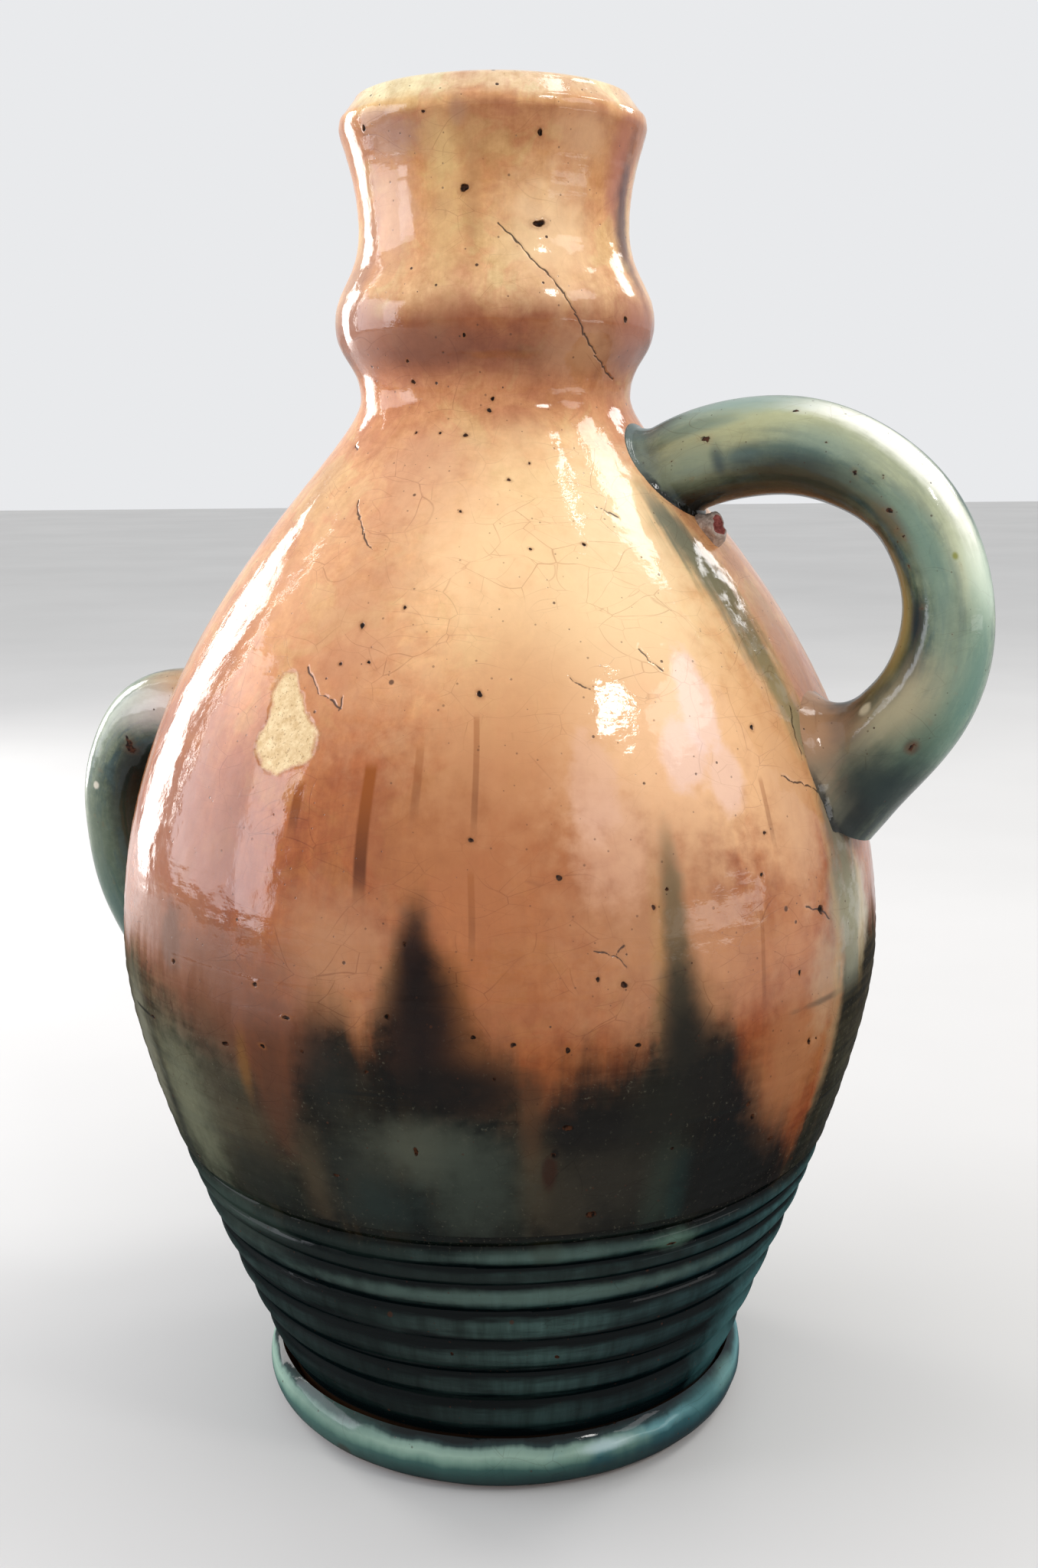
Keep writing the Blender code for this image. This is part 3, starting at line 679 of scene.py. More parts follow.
def finish_glaze(colour, skin, dull=None, **flaws):
    """Puts the flaws over a glaze's colour and joins all of it to the shader.

    A dark glaze may be dull, from 0 to 1, where it is seen at a glancing angle.
    """
    worn = use("glaze_flaws", color=colour, skin=skin, **flaws)
    shine = worn.shine
    if dull is not None:
        shine = shine * (1 - ease(add("ShaderNodeLayerWeight", 0.5).Facing, 0.3, 0.75) * dull)
    surface = {"Base Color": worn.color, "Coat Roughness": worn.roughness, "Coat Weight": shine}
    plug(Value.tree.nodes["Principled BSDF"], surface)
    plug(Value.tree.nodes["Bump"], {"Height": worn.relief})


def lay_spots(colour, spots, grain, across, up, round_r=None, within=None):
    """Lays clouds of other tints over a colour, where within allows.

    A spot is its place and half size across and up, its tint, its strength, and its softness if that isn't
    0.8. Up is in degrees round a bar of the given radius, where there is one.
    """
    for at_across, at_up, half_across, half_up, tint, strength, *soft in spots:
        gap = up - at_up
        if round_r:
            gap = gap.step("WRAP", 180, -180) * math.radians(round_r)
        spot = use("soft_spot", across=across - at_across, up=gap, grain=grain, half_across=half_across,
                   half_up=half_up, soft=soft[0] if soft else 0.8)
        share = spot * strength
        if within is not None:
            share = share * within
        colour = blend(share, colour, tint)
    return colour


def pot_spots(colour, place, spots):
    """Lays spots by azimuth and height."""
    return lay_spots(colour, spots, noise(place.skin, 0.25, 4), place.azimuth, place.height)


# Tint of the thin glaze on the ribs by azimuth: greyer on the left, bluer on the right, and lighter about the
# front and from 60° on, which is partly painted reflection
CREST_WITH_REFLECTIONS = (
    (-90, (44, 60, 58)), (-55, (44, 58, 56)), (-25, (26, 38, 36)), (-10, (56, 72, 68)), (8, (66, 90, 86)),
    (22, (44, 64, 64)), (40, (34, 58, 60)), (60, (58, 94, 96)), (90, (56, 90, 94)),
)
BOWL_SPOTS = (
    (27.5, 60, 4, 2, (96, 124, 108), 0.5, 0.6), (6, 62, 2.4, 3, (22, 22, 12), 0.8, 0.5),
    (-52, 58, 12, 6, (60, 74, 66), 0.4), (4, 50.8, 34, 1.5, (82, 102, 94), 0.5, 0.6),
    (8, 60.8, 12, 1.6, (88, 108, 100), 0.35, 0.7), (60, 24, 10, 14, (66, 106, 108), 0.5, 0.7),
    (-20, 55.8, 60, 1.5, (14, 21, 20), 0.8, 0.5), (-22, 60, 8, 2, (24, 34, 31), 0.6, 0.7),
)
material, place = glaze_material("teal_glaze")
# The glaze thins with the rib mark, which peaks above each rib's middle, so the crests are lighter on their
# upper side: partly the thin glaze and partly painted light from above
thin = mark("rib") + noise(place.skin * (0.1, 0.1, 0.9), 1, 4, 0.6) - 0.5
thin = thin + (noise(place.skin, 0.05) - 0.5) * 0.8
drawn = ramp(noise(place.run, 0.3, 4, 0.65), (0.3, (176, 180, 176)), (0.7, WHITE))
crest = ramp(place.azimuth, *CREST_WITH_REFLECTIONS) * drawn
crest = crest * ramp(place.height, (12, (150, 160, 164)), (30, (206, 212, 214)), (48, WHITE))
groove = ramp(place.azimuth, (-90, (6, 14, 15)), (0, (3, 8, 9)), (90, (3, 11, 14)))
pooled = blend(ease(thin, 0.3, 1.15), groove, crest)
colour = blend(fade(place.height, 58, 66), pot_coat(place).color, pooled)
colour = pot_spots(colour, place, BOWL_SPOTS)
clay = ramp(noise(place.skin, 0.6, 5, 0.7), (0.3, (126, 78, 54)), (0.7, (164, 112, 80)))
colour = blend(fade(place.height, 0.2, 1.2), colour, clay)
finish_glaze(colour, place.skin, dull=0.8, craze=0.3, halo=0, speck=0.7, shine=0.2)
bowl.data.materials.append(material)
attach(bowl, "root")
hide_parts("lower_body")

# Belly and shoulder
# The thrown upper body, joined to the bowl while leather-hard and smoothed over. Its apricot and tan glaze
# is thick and glossy, with amber runs, a crawled bare place, craze lines and the dark flames of the dip.
shoulder_rows = outside_rows(NECK_ROOT[1], SMOOTH_FROM, 1.15)[:-1] + outside_rows(SMOOTH_FROM, BOWL_TOP, 0.7)
neck_bore_r = NECK_ROOT[0] - NECK_WALL_T
hollow_rows = inside_rows(BOWL_TOP - JOINT_FALL, NECK_ROOT[1] - JOINT_FALL, 26)
shoulder_rows += [(max(radius, neck_bore_r), z, outside) for radius, z, outside in hollow_rows]
belly = thrown_piece("belly_and_shoulder", shoulder_rows)

BELLY_SPOTS = (
    # brown clouds of the belly, and paler places on the right of the shoulder
    (-11, 144, 12, 12, (150, 92, 58), 0.45), (14, 188, 30, 30, (255, 218, 164), 0.65),
    (27, 176, 15, 26, (255, 222, 172), 0.7), (-4, 192, 12, 10, (255, 210, 160), 0.5),
    (8, 160, 14, 14, (222, 164, 114), 0.6), (0, 136, 13, 28, (180, 114, 68), 0.65),
    (-27, 176, 9, 16, (198, 142, 104), 0.6), (-50, 132, 14, 22, (150, 98, 74), 0.6),
    (27, 154, 13, 16, (244, 192, 146), 0.75), (21, 126, 12, 16, (192, 140, 98), 0.65),
    (44, 128, 5, 20, (198, 140, 98), 0.5), (43, 96, 6, 14, (156, 104, 68), 0.7, 0.7),
    (44, 152, 10, 16, (238, 186, 134), 0.7), (-22, 122, 8, 10, (182, 132, 94), 0.7),
    (36, 197, 12, 12, (255, 226, 180), 0.6), (47, 142, 4, 16, (214, 164, 122), 0.6, 0.7),
    (-38, 112, 12, 10, (110, 68, 46), 0.8), (-60, 165, 9, 34, (156, 110, 86), 0.5),
    (64, 172, 5, 12, (186, 132, 100), 0.7, 0.7), (-44, 188, 10, 18, (226, 176, 136), 0.4),
    (-22, 205, 14, 10, (224, 172, 132), 0.5), (-34, 103, 9, 6, (96, 58, 38), 0.6),
    (15, 141, 5, 10, (222, 172, 140), 0.5, 0.5), (33, 118, 9, 9, (190, 134, 94), 0.5),
    # painted reflections of a window: pale pink ragged clouds on the right
    (32.5, 164, 3.4, 9, (246, 212, 196), 0.7, 0.25), (28, 155, 4, 6, (240, 204, 190), 0.6, 0.3),
    (34.5, 150, 3, 6, (240, 204, 190), 0.5, 0.3), (13, 151, 3.4, 9, (226, 180, 156), 0.4, 0.3),
    # brown tongues between the flames
    (-32, 95, 3.4, 13, (78, 48, 32), 0.85, 0.7), (-28, 77, 2.4, 10, (66, 56, 40), 0.7),
    (-36.6, 98, 1, 6, (116, 78, 36), 0.7, 0.7), (-43, 86, 5, 15, (70, 64, 50), 0.6),
    (-53, 84, 6, 15, (106, 108, 88), 0.6), (-60.5, 82, 1.4, 13, (34, 36, 30), 0.7),
    (-66, 92, 4, 14, (112, 112, 96), 0.6), (3.6, 92, 1.4, 9, (88, 58, 36), 0.75, 0.7),
    (4.4, 80, 2.4, 9, (70, 56, 38), 0.6), (8, 73, 4, 9, (54, 48, 36), 0.6),
    (-37, 82, 3, 8, (64, 54, 38), 0.6), (6.2, 80.4, 1, 3.6, (44, 20, 8), 0.95, 0.4),
    (6.8, 84.6, 0.5, 1, (14, 8, 5), 0.9, 0.4),
    # grey-green places of the dip, and the black ones
    (-11, 85, 7, 6, (74, 77, 65), 0.8), (-4, 78, 6, 11, (54, 61, 53), 0.75),
    (23, 74, 2.6, 9, (42, 54, 45), 0.65), (15, 77, 7, 8, (46, 42, 34), 0.6),
    (26, 72, 1.6, 8, (22, 50, 47), 0.55), (-20, 77, 5, 10, (46, 50, 43), 0.6),
    (-17, 72, 5, 5, (24, 38, 36), 0.6, 0.7), (34, 74, 9, 9, (6, 8, 7), 0.85, 0.7),
    (-51.5, 118, 2.6, 6, (80, 58, 44), 0.7, 0.5), (-55, 119, 10, 6, (112, 72, 50), 0.6),
    (50, 108, 3.6, 9, (178, 152, 118), 0.5, 0.7), (-39, 72, 6, 8, (22, 26, 22), 0.7, 0.7),
    (-11, 122, 2.2, 8, (26, 18, 20), 0.9, 0.7), (-10, 108, 4.4, 9, (18, 14, 16), 0.85, 0.7),
    (-6, 98, 8, 5, (14, 13, 12), 0.9, 0.7), (-23, 100, 3.4, 7, (30, 32, 28), 0.7),
    (12, 89, 8, 4, (20, 18, 16), 0.7), (27, 97, 5, 7, (20, 18, 15), 0.8),
    (-10, 116, 3.4, 7, (22, 16, 15), 0.85, 0.7), (21, 90, 4, 7, (26, 26, 20), 0.7),
    (52, 105, 8, 0.7, (60, 52, 42), 0.6, 0.6), (-63, 99.4, 3.6, 0.4, (12, 12, 10), 0.8, 0.5),
    # (61, 120) is partly the grey-green glaze and partly a painted reflection, pale on the right edge below
    # the handle
    (62, 103, 5, 0.5, (20, 20, 17), 0.7, 0.5), (61, 120, 5, 9, (188, 184, 164), 0.8, 0.6),
    (54, 122, 2.4, 8, (142, 138, 116), 0.6, 0.7),
    # olive edge of the thin flame and pale edges of the coat
    (20.2, 124, 1, 14, (176, 134, 84), 0.4, 0.7), (53.5, 98, 1.6, 14, (150, 122, 88), 0.6),
    (22.8, 126, 1.6, 14, (98, 88, 66), 0.75, 0.6), (23, 112, 2.6, 9, (44, 42, 33), 0.9, 0.7),
    (24, 105, 2.6, 6, (24, 24, 20), 0.85),
)
# Runs of amber glaze: azimuth, top and bottom height, half width in degrees, strength
AMBER_RUNS = (
    (-18.6, 154.5, 131, 1.05, 1), (-29.4, 150.5, 141, 0.9, 0.95), (-3.4, 163, 143, 0.5, 0.45),
    (-11.6, 158, 146, 0.7, 0.4), (-3.8, 137, 122, 0.5, 0.4), (36.5, 132, 108, 0.4, 0.35),
    (41, 149, 136, 0.5, 0.4), (104, 168, 140, 0.8, 0.8), (146, 158, 128, 0.6, 0.7),
    (-150, 172, 146, 0.7, 0.8), (-96, 150, 128, 0.5, 0.6),
)
# The grey-green run below the right handle's upper root: azimuth of its middle, half width, tint by height
GREEN_RUN = (
    (100, 58), (120, 58), (136, 58), (146, 57.4), (155, 56), (163, 53.6), (172, 52.4), (180, 51.6),
    (190, 49), (200, 45), (225, 44),
)
GREEN_RUN_HALF = (
    (100, 5), (120, 5.2), (136, 5), (146, 4.4), (155, 5.2), (163, 5.2), (172, 6.4), (180, 6.6), (190, 7),
    (200, 4), (225, 1),
)
GREEN_RUN_TINT = (
    (100, (60, 62, 52)), (108, (122, 122, 106)), (120, (138, 136, 114)), (136, (112, 112, 96)),
    (150, (130, 122, 96)), (163, (146, 134, 98)), (174, (124, 118, 90)), (190, (108, 116, 98)),
    (200, (112, 118, 104)),
)
material, place = glaze_material("apricot_glaze")
height, azimuth, skin = place.height, place.azimuth, place.skin
glazes = pot_coat(place)
colour = blend(fade(height, 211, 219), glazes.color, pot_spots(glazes.color, place, BELLY_SPOTS))
off = abs(azimuth - curve(height, 90, GREEN_RUN)) / curve(height, 10, GREEN_RUN_HALF)
off = off + (noise(place.run, 0.4, 4) - 0.5) * 1.1 + (noise(skin, 0.12, 4) - 0.5) * 0.9
green = fade(off, 0.2, 1.35) * fade(height, 196, 206) * ease(height, 101, 109)
green_tint = blend(ease(off, 0.55, 1.05), ramp(height, *GREEN_RUN_TINT), (190, 164, 116))
colour = blend(green * 0.9, colour, green_tint)
for at_azimuth, top, bottom, half_width, strength in AMBER_RUNS:
    off = abs(azimuth - (height * 0.21).step("SINE") * 0.12 - at_azimuth)
    share = fade(off, half_width * 0.6, half_width * 1.1) * ease(height, bottom - 2, bottom + 7)
    amber = blend(ease(height, bottom, top), (82, 34, 2), (146, 74, 10))
    colour = blend(share * fade(height, top - 1, top + 1) * strength, colour, amber)
dark = glazes.dark.step("MAXIMUM", fade(height, 100, 114))
dry = ease(noise(skin, 0.22, 4, 0.6), 0.4, 0.52, 0.15, 1)
shine = ease(dark, 0, 1, 0.8, 0.22) * (1 - green * dry)
halo = ease(glazes.dark, 0.2, 0.8, 0.4, 0)
finish_glaze(colour, skin, dull=ease(dark, 0.2, 1, 0, 0.8), craze=0.42, halo=halo, peel=0.09, shine=shine)
belly.data.materials.append(material)
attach(belly, "root")
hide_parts("upper_body")

# Neck
# A collar, a waist and a thick rolled lip, thrown as one and set on the shoulder. The same glaze is thinner
# and pinker here, mauve under the lip with painted shade in it, olive down one side, and cream on the flat of
# the lip, partly painted light.
LIP_ROLL_R = 7.1
LIP_TOP = 280
LIP_INNER_ROLL_R = 3.2
BORE_R = 21.8
# The flat on the lip, from one angle of its roll to another
LIP_FACET = (14, 62)

roll_r = LIP[0] - LIP_ROLL_R
lip_angles = np.linspace(90, 0, 31)
from_facet = np.abs(lip_angles - sum(LIP_FACET) / 2)
facet_half = (LIP_FACET[1] - LIP_FACET[0]) / 2
chord = LIP_ROLL_R * math.cos(math.radians(facet_half)) / np.cos(np.radians(from_facet))
inward = np.clip(facet_half - from_facet, 0, 9) / 9
lip_radii = LIP_ROLL_R - np.clip(LIP_ROLL_R - chord, 0, 9) * inward**2 * (3 - 2 * inward)
lip_turns = np.radians(lip_angles)
neck_rows = [(roll_r + lip_r * np.cos(turn), min(LIP[1] + lip_r * np.sin(turn), LIP_TOP - 0.05), 1)
             for lip_r, turn in zip(lip_radii, lip_turns)]
neck_rows += outside_rows(LIP[1], NECK_ROOT[1], 0.42)[1:]
neck_rows += inner([(neck_bore_r, NECK_ROOT[1] - JOINT_FALL), (BORE_R, COLLAR[1]), (BORE_R, 262)])
neck_rows += inner(arc((roll_r, LIP_TOP - LIP_INNER_ROLL_R), LIP_INNER_ROLL_R, 180, 100, 8))
neck = thrown_piece("neck_and_lip", neck_rows)

NECK_SPOTS = (
    # (-42, 268.5) and (-12, 272) are painted shade, darker mauve under the lip roll
    (-19, 256, 7, 16, (212, 180, 124), 0.5), (-42, 268.5, 14, 3.6, (150, 108, 92), 0.8, 0.6),
    (-44, 255, 11, 11, (206, 164, 134), 0.6, 0.7), (60, 262, 8, 10, (168, 106, 86), 0.8, 0.7),
    (67, 254, 6, 13, (76, 40, 38), 0.9, 0.7), (22, 250, 18, 10, (255, 220, 172), 0.65),
    (-8, 257, 3.5, 12, (176, 132, 86), 0.5), (-12, 272, 3, 2.6, (160, 118, 92), 0.6, 0.7),
    (36, 268, 12, 5, (220, 176, 132), 0.5), (45.5, 222, 3.4, 2, (104, 62, 60), 0.7, 0.6),
    # (34, 227) is a painted highlight, lighter under the collar on the right
    (-26, 230, 14, 4, (126, 84, 64), 0.5), (34, 227, 14, 5, (196, 148, 110), 0.7),
    (60, 232, 12, 6, (170, 112, 92), 0.6), (-62, 246, 9, 20, (150, 110, 94), 0.6),
    (-52, 233, 12, 6, (160, 116, 96), 0.6, 0.7), (120, 258, 14, 12, (206, 176, 122), 0.6, 0.7),
    (-140, 262, 12, 9, (160, 112, 92), 0.7, 0.7), (170, 250, 9, 14, (214, 168, 118), 0.5, 0.7),
)
material, place = glaze_material("cream_glaze")
plain = pot_coat(place).color
colour = blend(ease(place.height, 221, 228), plain, pot_spots(plain, place, NECK_SPOTS))
finish_glaze(colour, place.skin, craze=0.35, speck=0.95, peel=0.09)
neck.data.materials.append(material)
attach(neck, "root")
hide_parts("neck")

# Foot ring
# A coil of clay pressed round the base and rounded with a wet cloth, on which the pot stands. The glaze is
# pale celadon on top of the coil and teal below, which is partly painted light and shade, and it is wiped off
# the face that stood in the kiln.
COIL_CENTRE = (47.7, 6.6)
COIL_R = 6.75
COIL_START = 52
COIL_END = -76
COIL_INSIDE = ((46.5, 0), (44.9, 0.3), (48.6, 5), (51.6, 11.2))

coil_rows = [(r, max(z, 0), 1) for r, z in arc(COIL_CENTRE, COIL_R, COIL_START, COIL_END, 44)]
coil_rows += inner(COIL_INSIDE)
mesh = turned_mesh(coil_rows)
co, azimuth, z, outside = places_of(mesh)
lumps = waves(azimuth, z, (0.1, 2, 0.2, 0), (0.08, 5, 0.4, 2), (0.05, 11, 0.9, 1), (0.03, 23, 1.3, 3))
co[:, :2] *= (1 - outside * np.clip(0.12 - lumps, 0, 1) / np.hypot(co[:, 0], co[:, 1]))[:, None]
foot = finished_piece("foot_coil", mesh, co, {"inside": 1 - outside})

# Tints by height, in front on the left and on the right: partly the glaze and partly painted light and shade,
# lighter on top of the coil and darker towards the floor and in the crease against the bowl
PALE_COIL_AND_SHADE = (
    (0, (6, 16, 18)), (2.2, (28, 48, 47)), (4.6, (38, 66, 63)), (6.2, (50, 82, 77)), (7.4, (98, 128, 115)),
    (8.8, (132, 158, 143)), (9.9, (116, 142, 130)), (10.7, (30, 48, 48)), (11.4, (8, 16, 17)),
)
TEAL_COIL_AND_SHADE = (
    (0, (4, 12, 15)), (2.2, (8, 26, 31)), (5, (12, 42, 48)), (7.4, (26, 70, 76)), (9, (92, 138, 142)),
    (9.9, (72, 112, 116)), (10.7, (32, 56, 58)), (11.6, (14, 28, 32)),
)
FOOT_SPOTS = (
    (-40, 3.4, 2, 1.4, (40, 22, 14), 0.9, 0.4), (-35, 2, 2.6, 1, (28, 26, 20), 0.8, 0.4),
    (-46, 8, 14, 6, (64, 92, 84), 0.5), (18, 3, 16, 2, (18, 46, 48), 0.6, 0.7),
    # (22, 9) is a painted highlight on the top of the coil
    (22, 9, 5, 1, (176, 196, 198), 0.7, 0.7), (64, 9, 8, 2, (96, 130, 124), 0.5, 0.7),
    (52, 9, 7, 2, (50, 92, 94), 0.7, 0.7),
)
material, place = glaze_material("celadon_glaze")
patch = noise(place.skin, 0.1) - 0.5
level = place.height + (noise(place.run, 0.5, 4, 0.65) - 0.5) * 0.5 + patch * 2.6
colour = blend(ease(place.azimuth + patch * 60, 14, 36), ramp(level, *PALE_COIL_AND_SHADE), ramp(level, *TEAL_COIL_AND_SHADE))
colour = pot_spots(colour, place, FOOT_SPOTS)
colour = blend(fade(place.height, 0.25, 0.9), colour, (138, 90, 62))
finish_glaze(colour, place.skin, dull=0.6, craze=0.3, halo=0.1, speck=0.9, shine=0.45)
foot.data.materials.append(material)
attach(foot, "root")
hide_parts("foot_ring")

# Right handle
# A rolled coil of clay, bent to a loop and set high, with its ends scored, slipped and pressed on to the
# wall. It is grey-green all over, cream where the glaze is thin, with blue-black streaks in the bend.
ROOT_DEPTH = 5
UPPER_ROOT_R = 10
GRIP_R = 9
LOWER_ROOT_R = 11.2
HANDLE_INSET = 0.35
HANDLE_STEPS = 110
HANDLE_SIDES = 96
RING_SPACING = 0.62
SEAM_DEPTH = 0.35
# Radius of the fillet on the wall, and how much more it is on the upper side of the root
UPPER_FILLET = (1.8, 1.8)
LOWER_FILLET = (3, 7)

# Direction in degrees, roots as height, angle and pull, outermost point as radius and height, pulls there
RIGHT = {
    "azimuth": -25, "upper": (204.5, 26.9, 34.6), "lower": (143, 51.7, 16.4), "outer": (95.6, 177),
    "rise": 22.9, "fall": 16.8,
}


def handle_line(sizes):
    """Middle of a handle in its upright plane, as radius and height, both ends inside the wall."""
    ends = []
    for height, angle, pull in (sizes["upper"], sizes["lower"]):
        way = np.array([math.cos(math.radians(angle)), math.sin(math.radians(angle))])
        ends.append((np.array([wall_radius(height), height]), way, pull))
    (upper, upper_way, upper_pull), (lower, lower_way, lower_pull) = ends
    rise = bezier(upper, upper_way * upper_pull, (0, sizes["rise"]), sizes["outer"], HANDLE_STEPS)
    fall = bezier(sizes["outer"], (0, -sizes["fall"]), lower_way * lower_pull, lower, HANDLE_STEPS)
    inward = np.linspace(ROOT_DEPTH, 0, 12)[:-1, None]
    return np.vstack([upper - upper_way * inward, rise, fall[1:], lower - lower_way * inward[::-1]])


def handle_piece(name, sizes, dents, chips):
    """A handle, thicker at its roots, with a fillet on the wall and the marks of fingers."""
    line = handle_line(sizes)
    along = np.concatenate([[0], np.cumsum(np.hypot(*np.diff(line, axis=0).T))])
    length = along[-1]
    way = np.linspace(0, 1, int(length / RING_SPACING))
    rings_at = length * (way - 0.6 * np.sin(2 * np.pi * way) / (2 * np.pi))
    line = np.stack([np.interp(rings_at, along, line[:, i]) for i in (0, 1)], 1)
    share = np.clip((rings_at - ROOT_DEPTH) / (length - 2 * ROOT_DEPTH), 0, 1)
    tangent = np.gradient(line, axis=0)
    tangent /= np.hypot(*tangent.T)[:, None]
    outward = np.stack([-tangent[:, 1], tangent[:, 0]], 1)
    s, t = np.meshgrid(share, np.arange(HANDLE_SIDES) * 2 * np.pi / HANDLE_SIDES, indexing="ij")
    reach_along = s * (length - 2 * ROOT_DEPTH)

    def from_turn(at_turn):
        """Millimetres round the handle from a place on it to each point."""
        return GRIP_R * ((t - math.radians(at_turn) + np.pi) % (2 * np.pi) - np.pi)

    root = UPPER_ROOT_R + (LOWER_ROOT_R - UPPER_ROOT_R) * s
    radius = root + (GRIP_R - root) * (1 - np.cos(2 * np.pi * s)) / 2 - HANDLE_INSET
    radius += 0.16 * np.sin(2 * t + 7 * s) + 0.1 * np.sin(3 * t - 13 * s + 1) + 0.07 * np.sin(t + 31 * s)
    for at_along, at_turn, deep, wide in dents:
        radius -= deep * np.exp(-((reach_along - at_along) ** 2 + from_turn(at_turn) ** 2) / wide**2)

    def surface(radius):
        """The handle's reach from the pot's axis and its height, and how far it is clear of the wall."""
        reach, height = (line[:, None, i] + radius * np.cos(t) * outward[:, None, i] for i in (0, 1))
        clear = np.hypot(reach, radius * np.sin(t)) - wall_radius(height)
        return reach, height, clear / wall_tilt(height)

    upper_fillet = UPPER_FILLET[0] + UPPER_FILLET[1] * np.clip(np.cos(t), 0, 1)
    lower_fillet = LOWER_FILLET[0] + LOWER_FILLET[1] * np.clip(-np.cos(t), 0, 1)
    fillet_r = np.where(s < 0.5, upper_fillet, lower_fillet)
    swell = 0
    for _ in range(4):
        near = np.clip(1 - surface(radius + swell)[2] / fillet_r, 0, 0.985)
        swell = fillet_r * (1 - np.sqrt(1 - near**2))
    radius += swell
    clear = surface(radius)[2]
    radius -= SEAM_DEPTH * np.exp(-(((clear - 0.35) / 0.45) ** 2)) * np.clip((5 - fillet_r) / 2, 0, 1)
    reach, height, _ = surface(radius)
    aside = radius * np.sin(t)
    angle = math.radians(sizes["azimuth"])
    x = reach * math.cos(angle) - aside * math.sin(angle)
    y = reach * math.sin(angle) + aside * math.cos(angle)
    places = np.stack([x, y, height], 2).reshape(-1, 3)

    mesh = bmesh.new()
    verts = [mesh.verts.new(place) for place in places]
    rings = [verts[i : i + HANDLE_SIDES] for i in range(0, len(verts), HANDLE_SIDES)]
    for upper, lower in zip(rings, rings[1:]):
        join_rings(mesh, upper, lower)
    mesh.faces.new(rings[0])
    mesh.faces.new(rings[-1][::-1])
    bmesh.ops.recalc_face_normals(mesh, faces=mesh.faces[:])
    pit = np.full_like(s, 4)
    for at_along, at_turn, size in chips:
        across, up = from_turn(at_turn), reach_along - at_along
        angle = np.arctan2(across, up)
        ragged = 1 + 0.34 * np.sin(2 * angle + at_turn) + 0.2 * np.sin(3 * angle + at_along)
        pit = np.minimum(pit, np.hypot(up, across) / (0.8 * size * ragged))
    marks = {
        "marked": np.ones_like(s), "along": reach_along, "outer": np.cos(t), "front": np.sin(t), "pit": pit,
        "clear": np.clip(clear, -2, 30), "crack": np.full_like(s, 3), "bald": np.full_like(s, 3),
    }
    return finished_piece(name, mesh, places, {mark: values.ravel() for mark, values in marks.items()})


# Places on a handle: millimetres along it from the wall above, and degrees round it from its outer side,
# 180 on its inner side, 270 in front on the right handle and 90 in front on the left one. A dent also has
# its depth and width, and a chip its size.
RIGHT_DENTS = ((49, 200, 0.35, 9), (72, 30, 0.3, 8), (93, 150, 0.4, 7))
RIGHT_CHIPS = (
    (12.1, 285, 0.9), (7.1, 246, 0.4), (4.6, 273, 0.35), (27.8, 315, 0.5), (34.8, 285, 0.35),
    (41.9, 267, 0.7), (51.9, 258, 0.8), (56, 249, 0.6), (58, 253, 0.5), (64, 240, 0.5), (73.1, 249, 0.6),
    (99.3, 297, 0.8), (93.8, 294, 0.45), (67.1, 303, 0.4), (61, 262, 0.3), (84, 296, 0.35), (78, 286, 0.3),
    (47, 282, 0.3), (70, 292, 0.25), (38, 300, 0.3), (88, 305, 0.3), (19, 296, 0.3), (104, 262, 0.3),
    (60, 110, 0.6),
)
right_handle = handle_piece("right_handle_coil", RIGHT, RIGHT_DENTS, RIGHT_CHIPS)

# The glaze of both handles: cream where it is thin on the outer side, grey-green in front, and dark and brown
# inside, which is painted shade with a painted reflection of the body. Its tints are by the degrees from the
# outer side, and its spots are as wide as on a bar of radius SPOT_R.
ROUND_TINTS_AND_SHADE = (
    (0, (142, 160, 148)), (28, (176, 184, 158)), (55, (160, 168, 140)), (80, (136, 146, 124)),
    (105, (112, 124, 106)), (130, (88, 98, 84)), (152, (66, 70, 58)), (168, (72, 66, 50)),
    (180, (66, 60, 46)),
)
SPOT_R = 9.6
skin = effect("handle_glaze", skin=NO_VECTOR).skin
outer, front = mark("outer"), mark("front")
ropey = add("ShaderNodeCombineXYZ", mark("along") * 0.19, outer * 9, front * 9)
turn = front.step("ARCTAN2", outer).step("DEGREES")
from_outer = abs(turn) + (noise(ropey, 0.3, 4, 0.6) - 0.5) * 46 + (noise(skin, 0.1) - 0.5) * 60
colour = ramp(from_outer, *ROUND_TINTS_AND_SHADE)
colour = colour * ramp(noise(ropey, 0.8, 4, 0.65), (0.3, (186, 198, 198)), (0.7, (255, 255, 248)))
colour = blend(ease(noise(ropey, 0.45, 5, 0.65), 0.48, 0.6, 0, 0.7), colour, (54, 82, 88))
colour = colour * ramp(noise(skin, 0.35, 5, 0.7), (0.34, (176, 186, 182)), (0.66, WHITE))
colour = blend(ease(noise(skin, 1.1, 3, 0.65), 0.56, 0.68, 0, 0.55), colour, (58, 78, 76))
give(color=colour, ropey=ropey, turn=turn)


def handle_material(name, tints, skirt_tints, seam_tints):
    """The glaze of a handle, with its spots: all over, on the skirt round its roots and along the seams."""
    material, place = glaze_material(name)
    skin = place.skin
    glaze = use("handle_glaze", skin=skin)
    wisp = noise(glaze.ropey, 0.5, 4) * 0.6 + noise(skin, 0.25, 4) * 0.4
    skirt = fade(mark("clear") + (noise(skin, 0.2, 4) - 0.5) * 6, 0.5, 5.5)
    seam = fade(mark("clear") + (noise(skin, 0.5) - 0.5) * 1.4, 0.1, 0.8)
    colour = glaze.color
    for spots, within in ((tints, None), (skirt_tints, skirt), (seam_tints, seam)):
        colour = lay_spots(colour, spots, wisp, mark("along"), glaze.turn, SPOT_R, within)
    finish_glaze(colour, skin, craze=0.35, halo=0.12, speck=0.85, peel=0.1, shine=0.62)
    return material


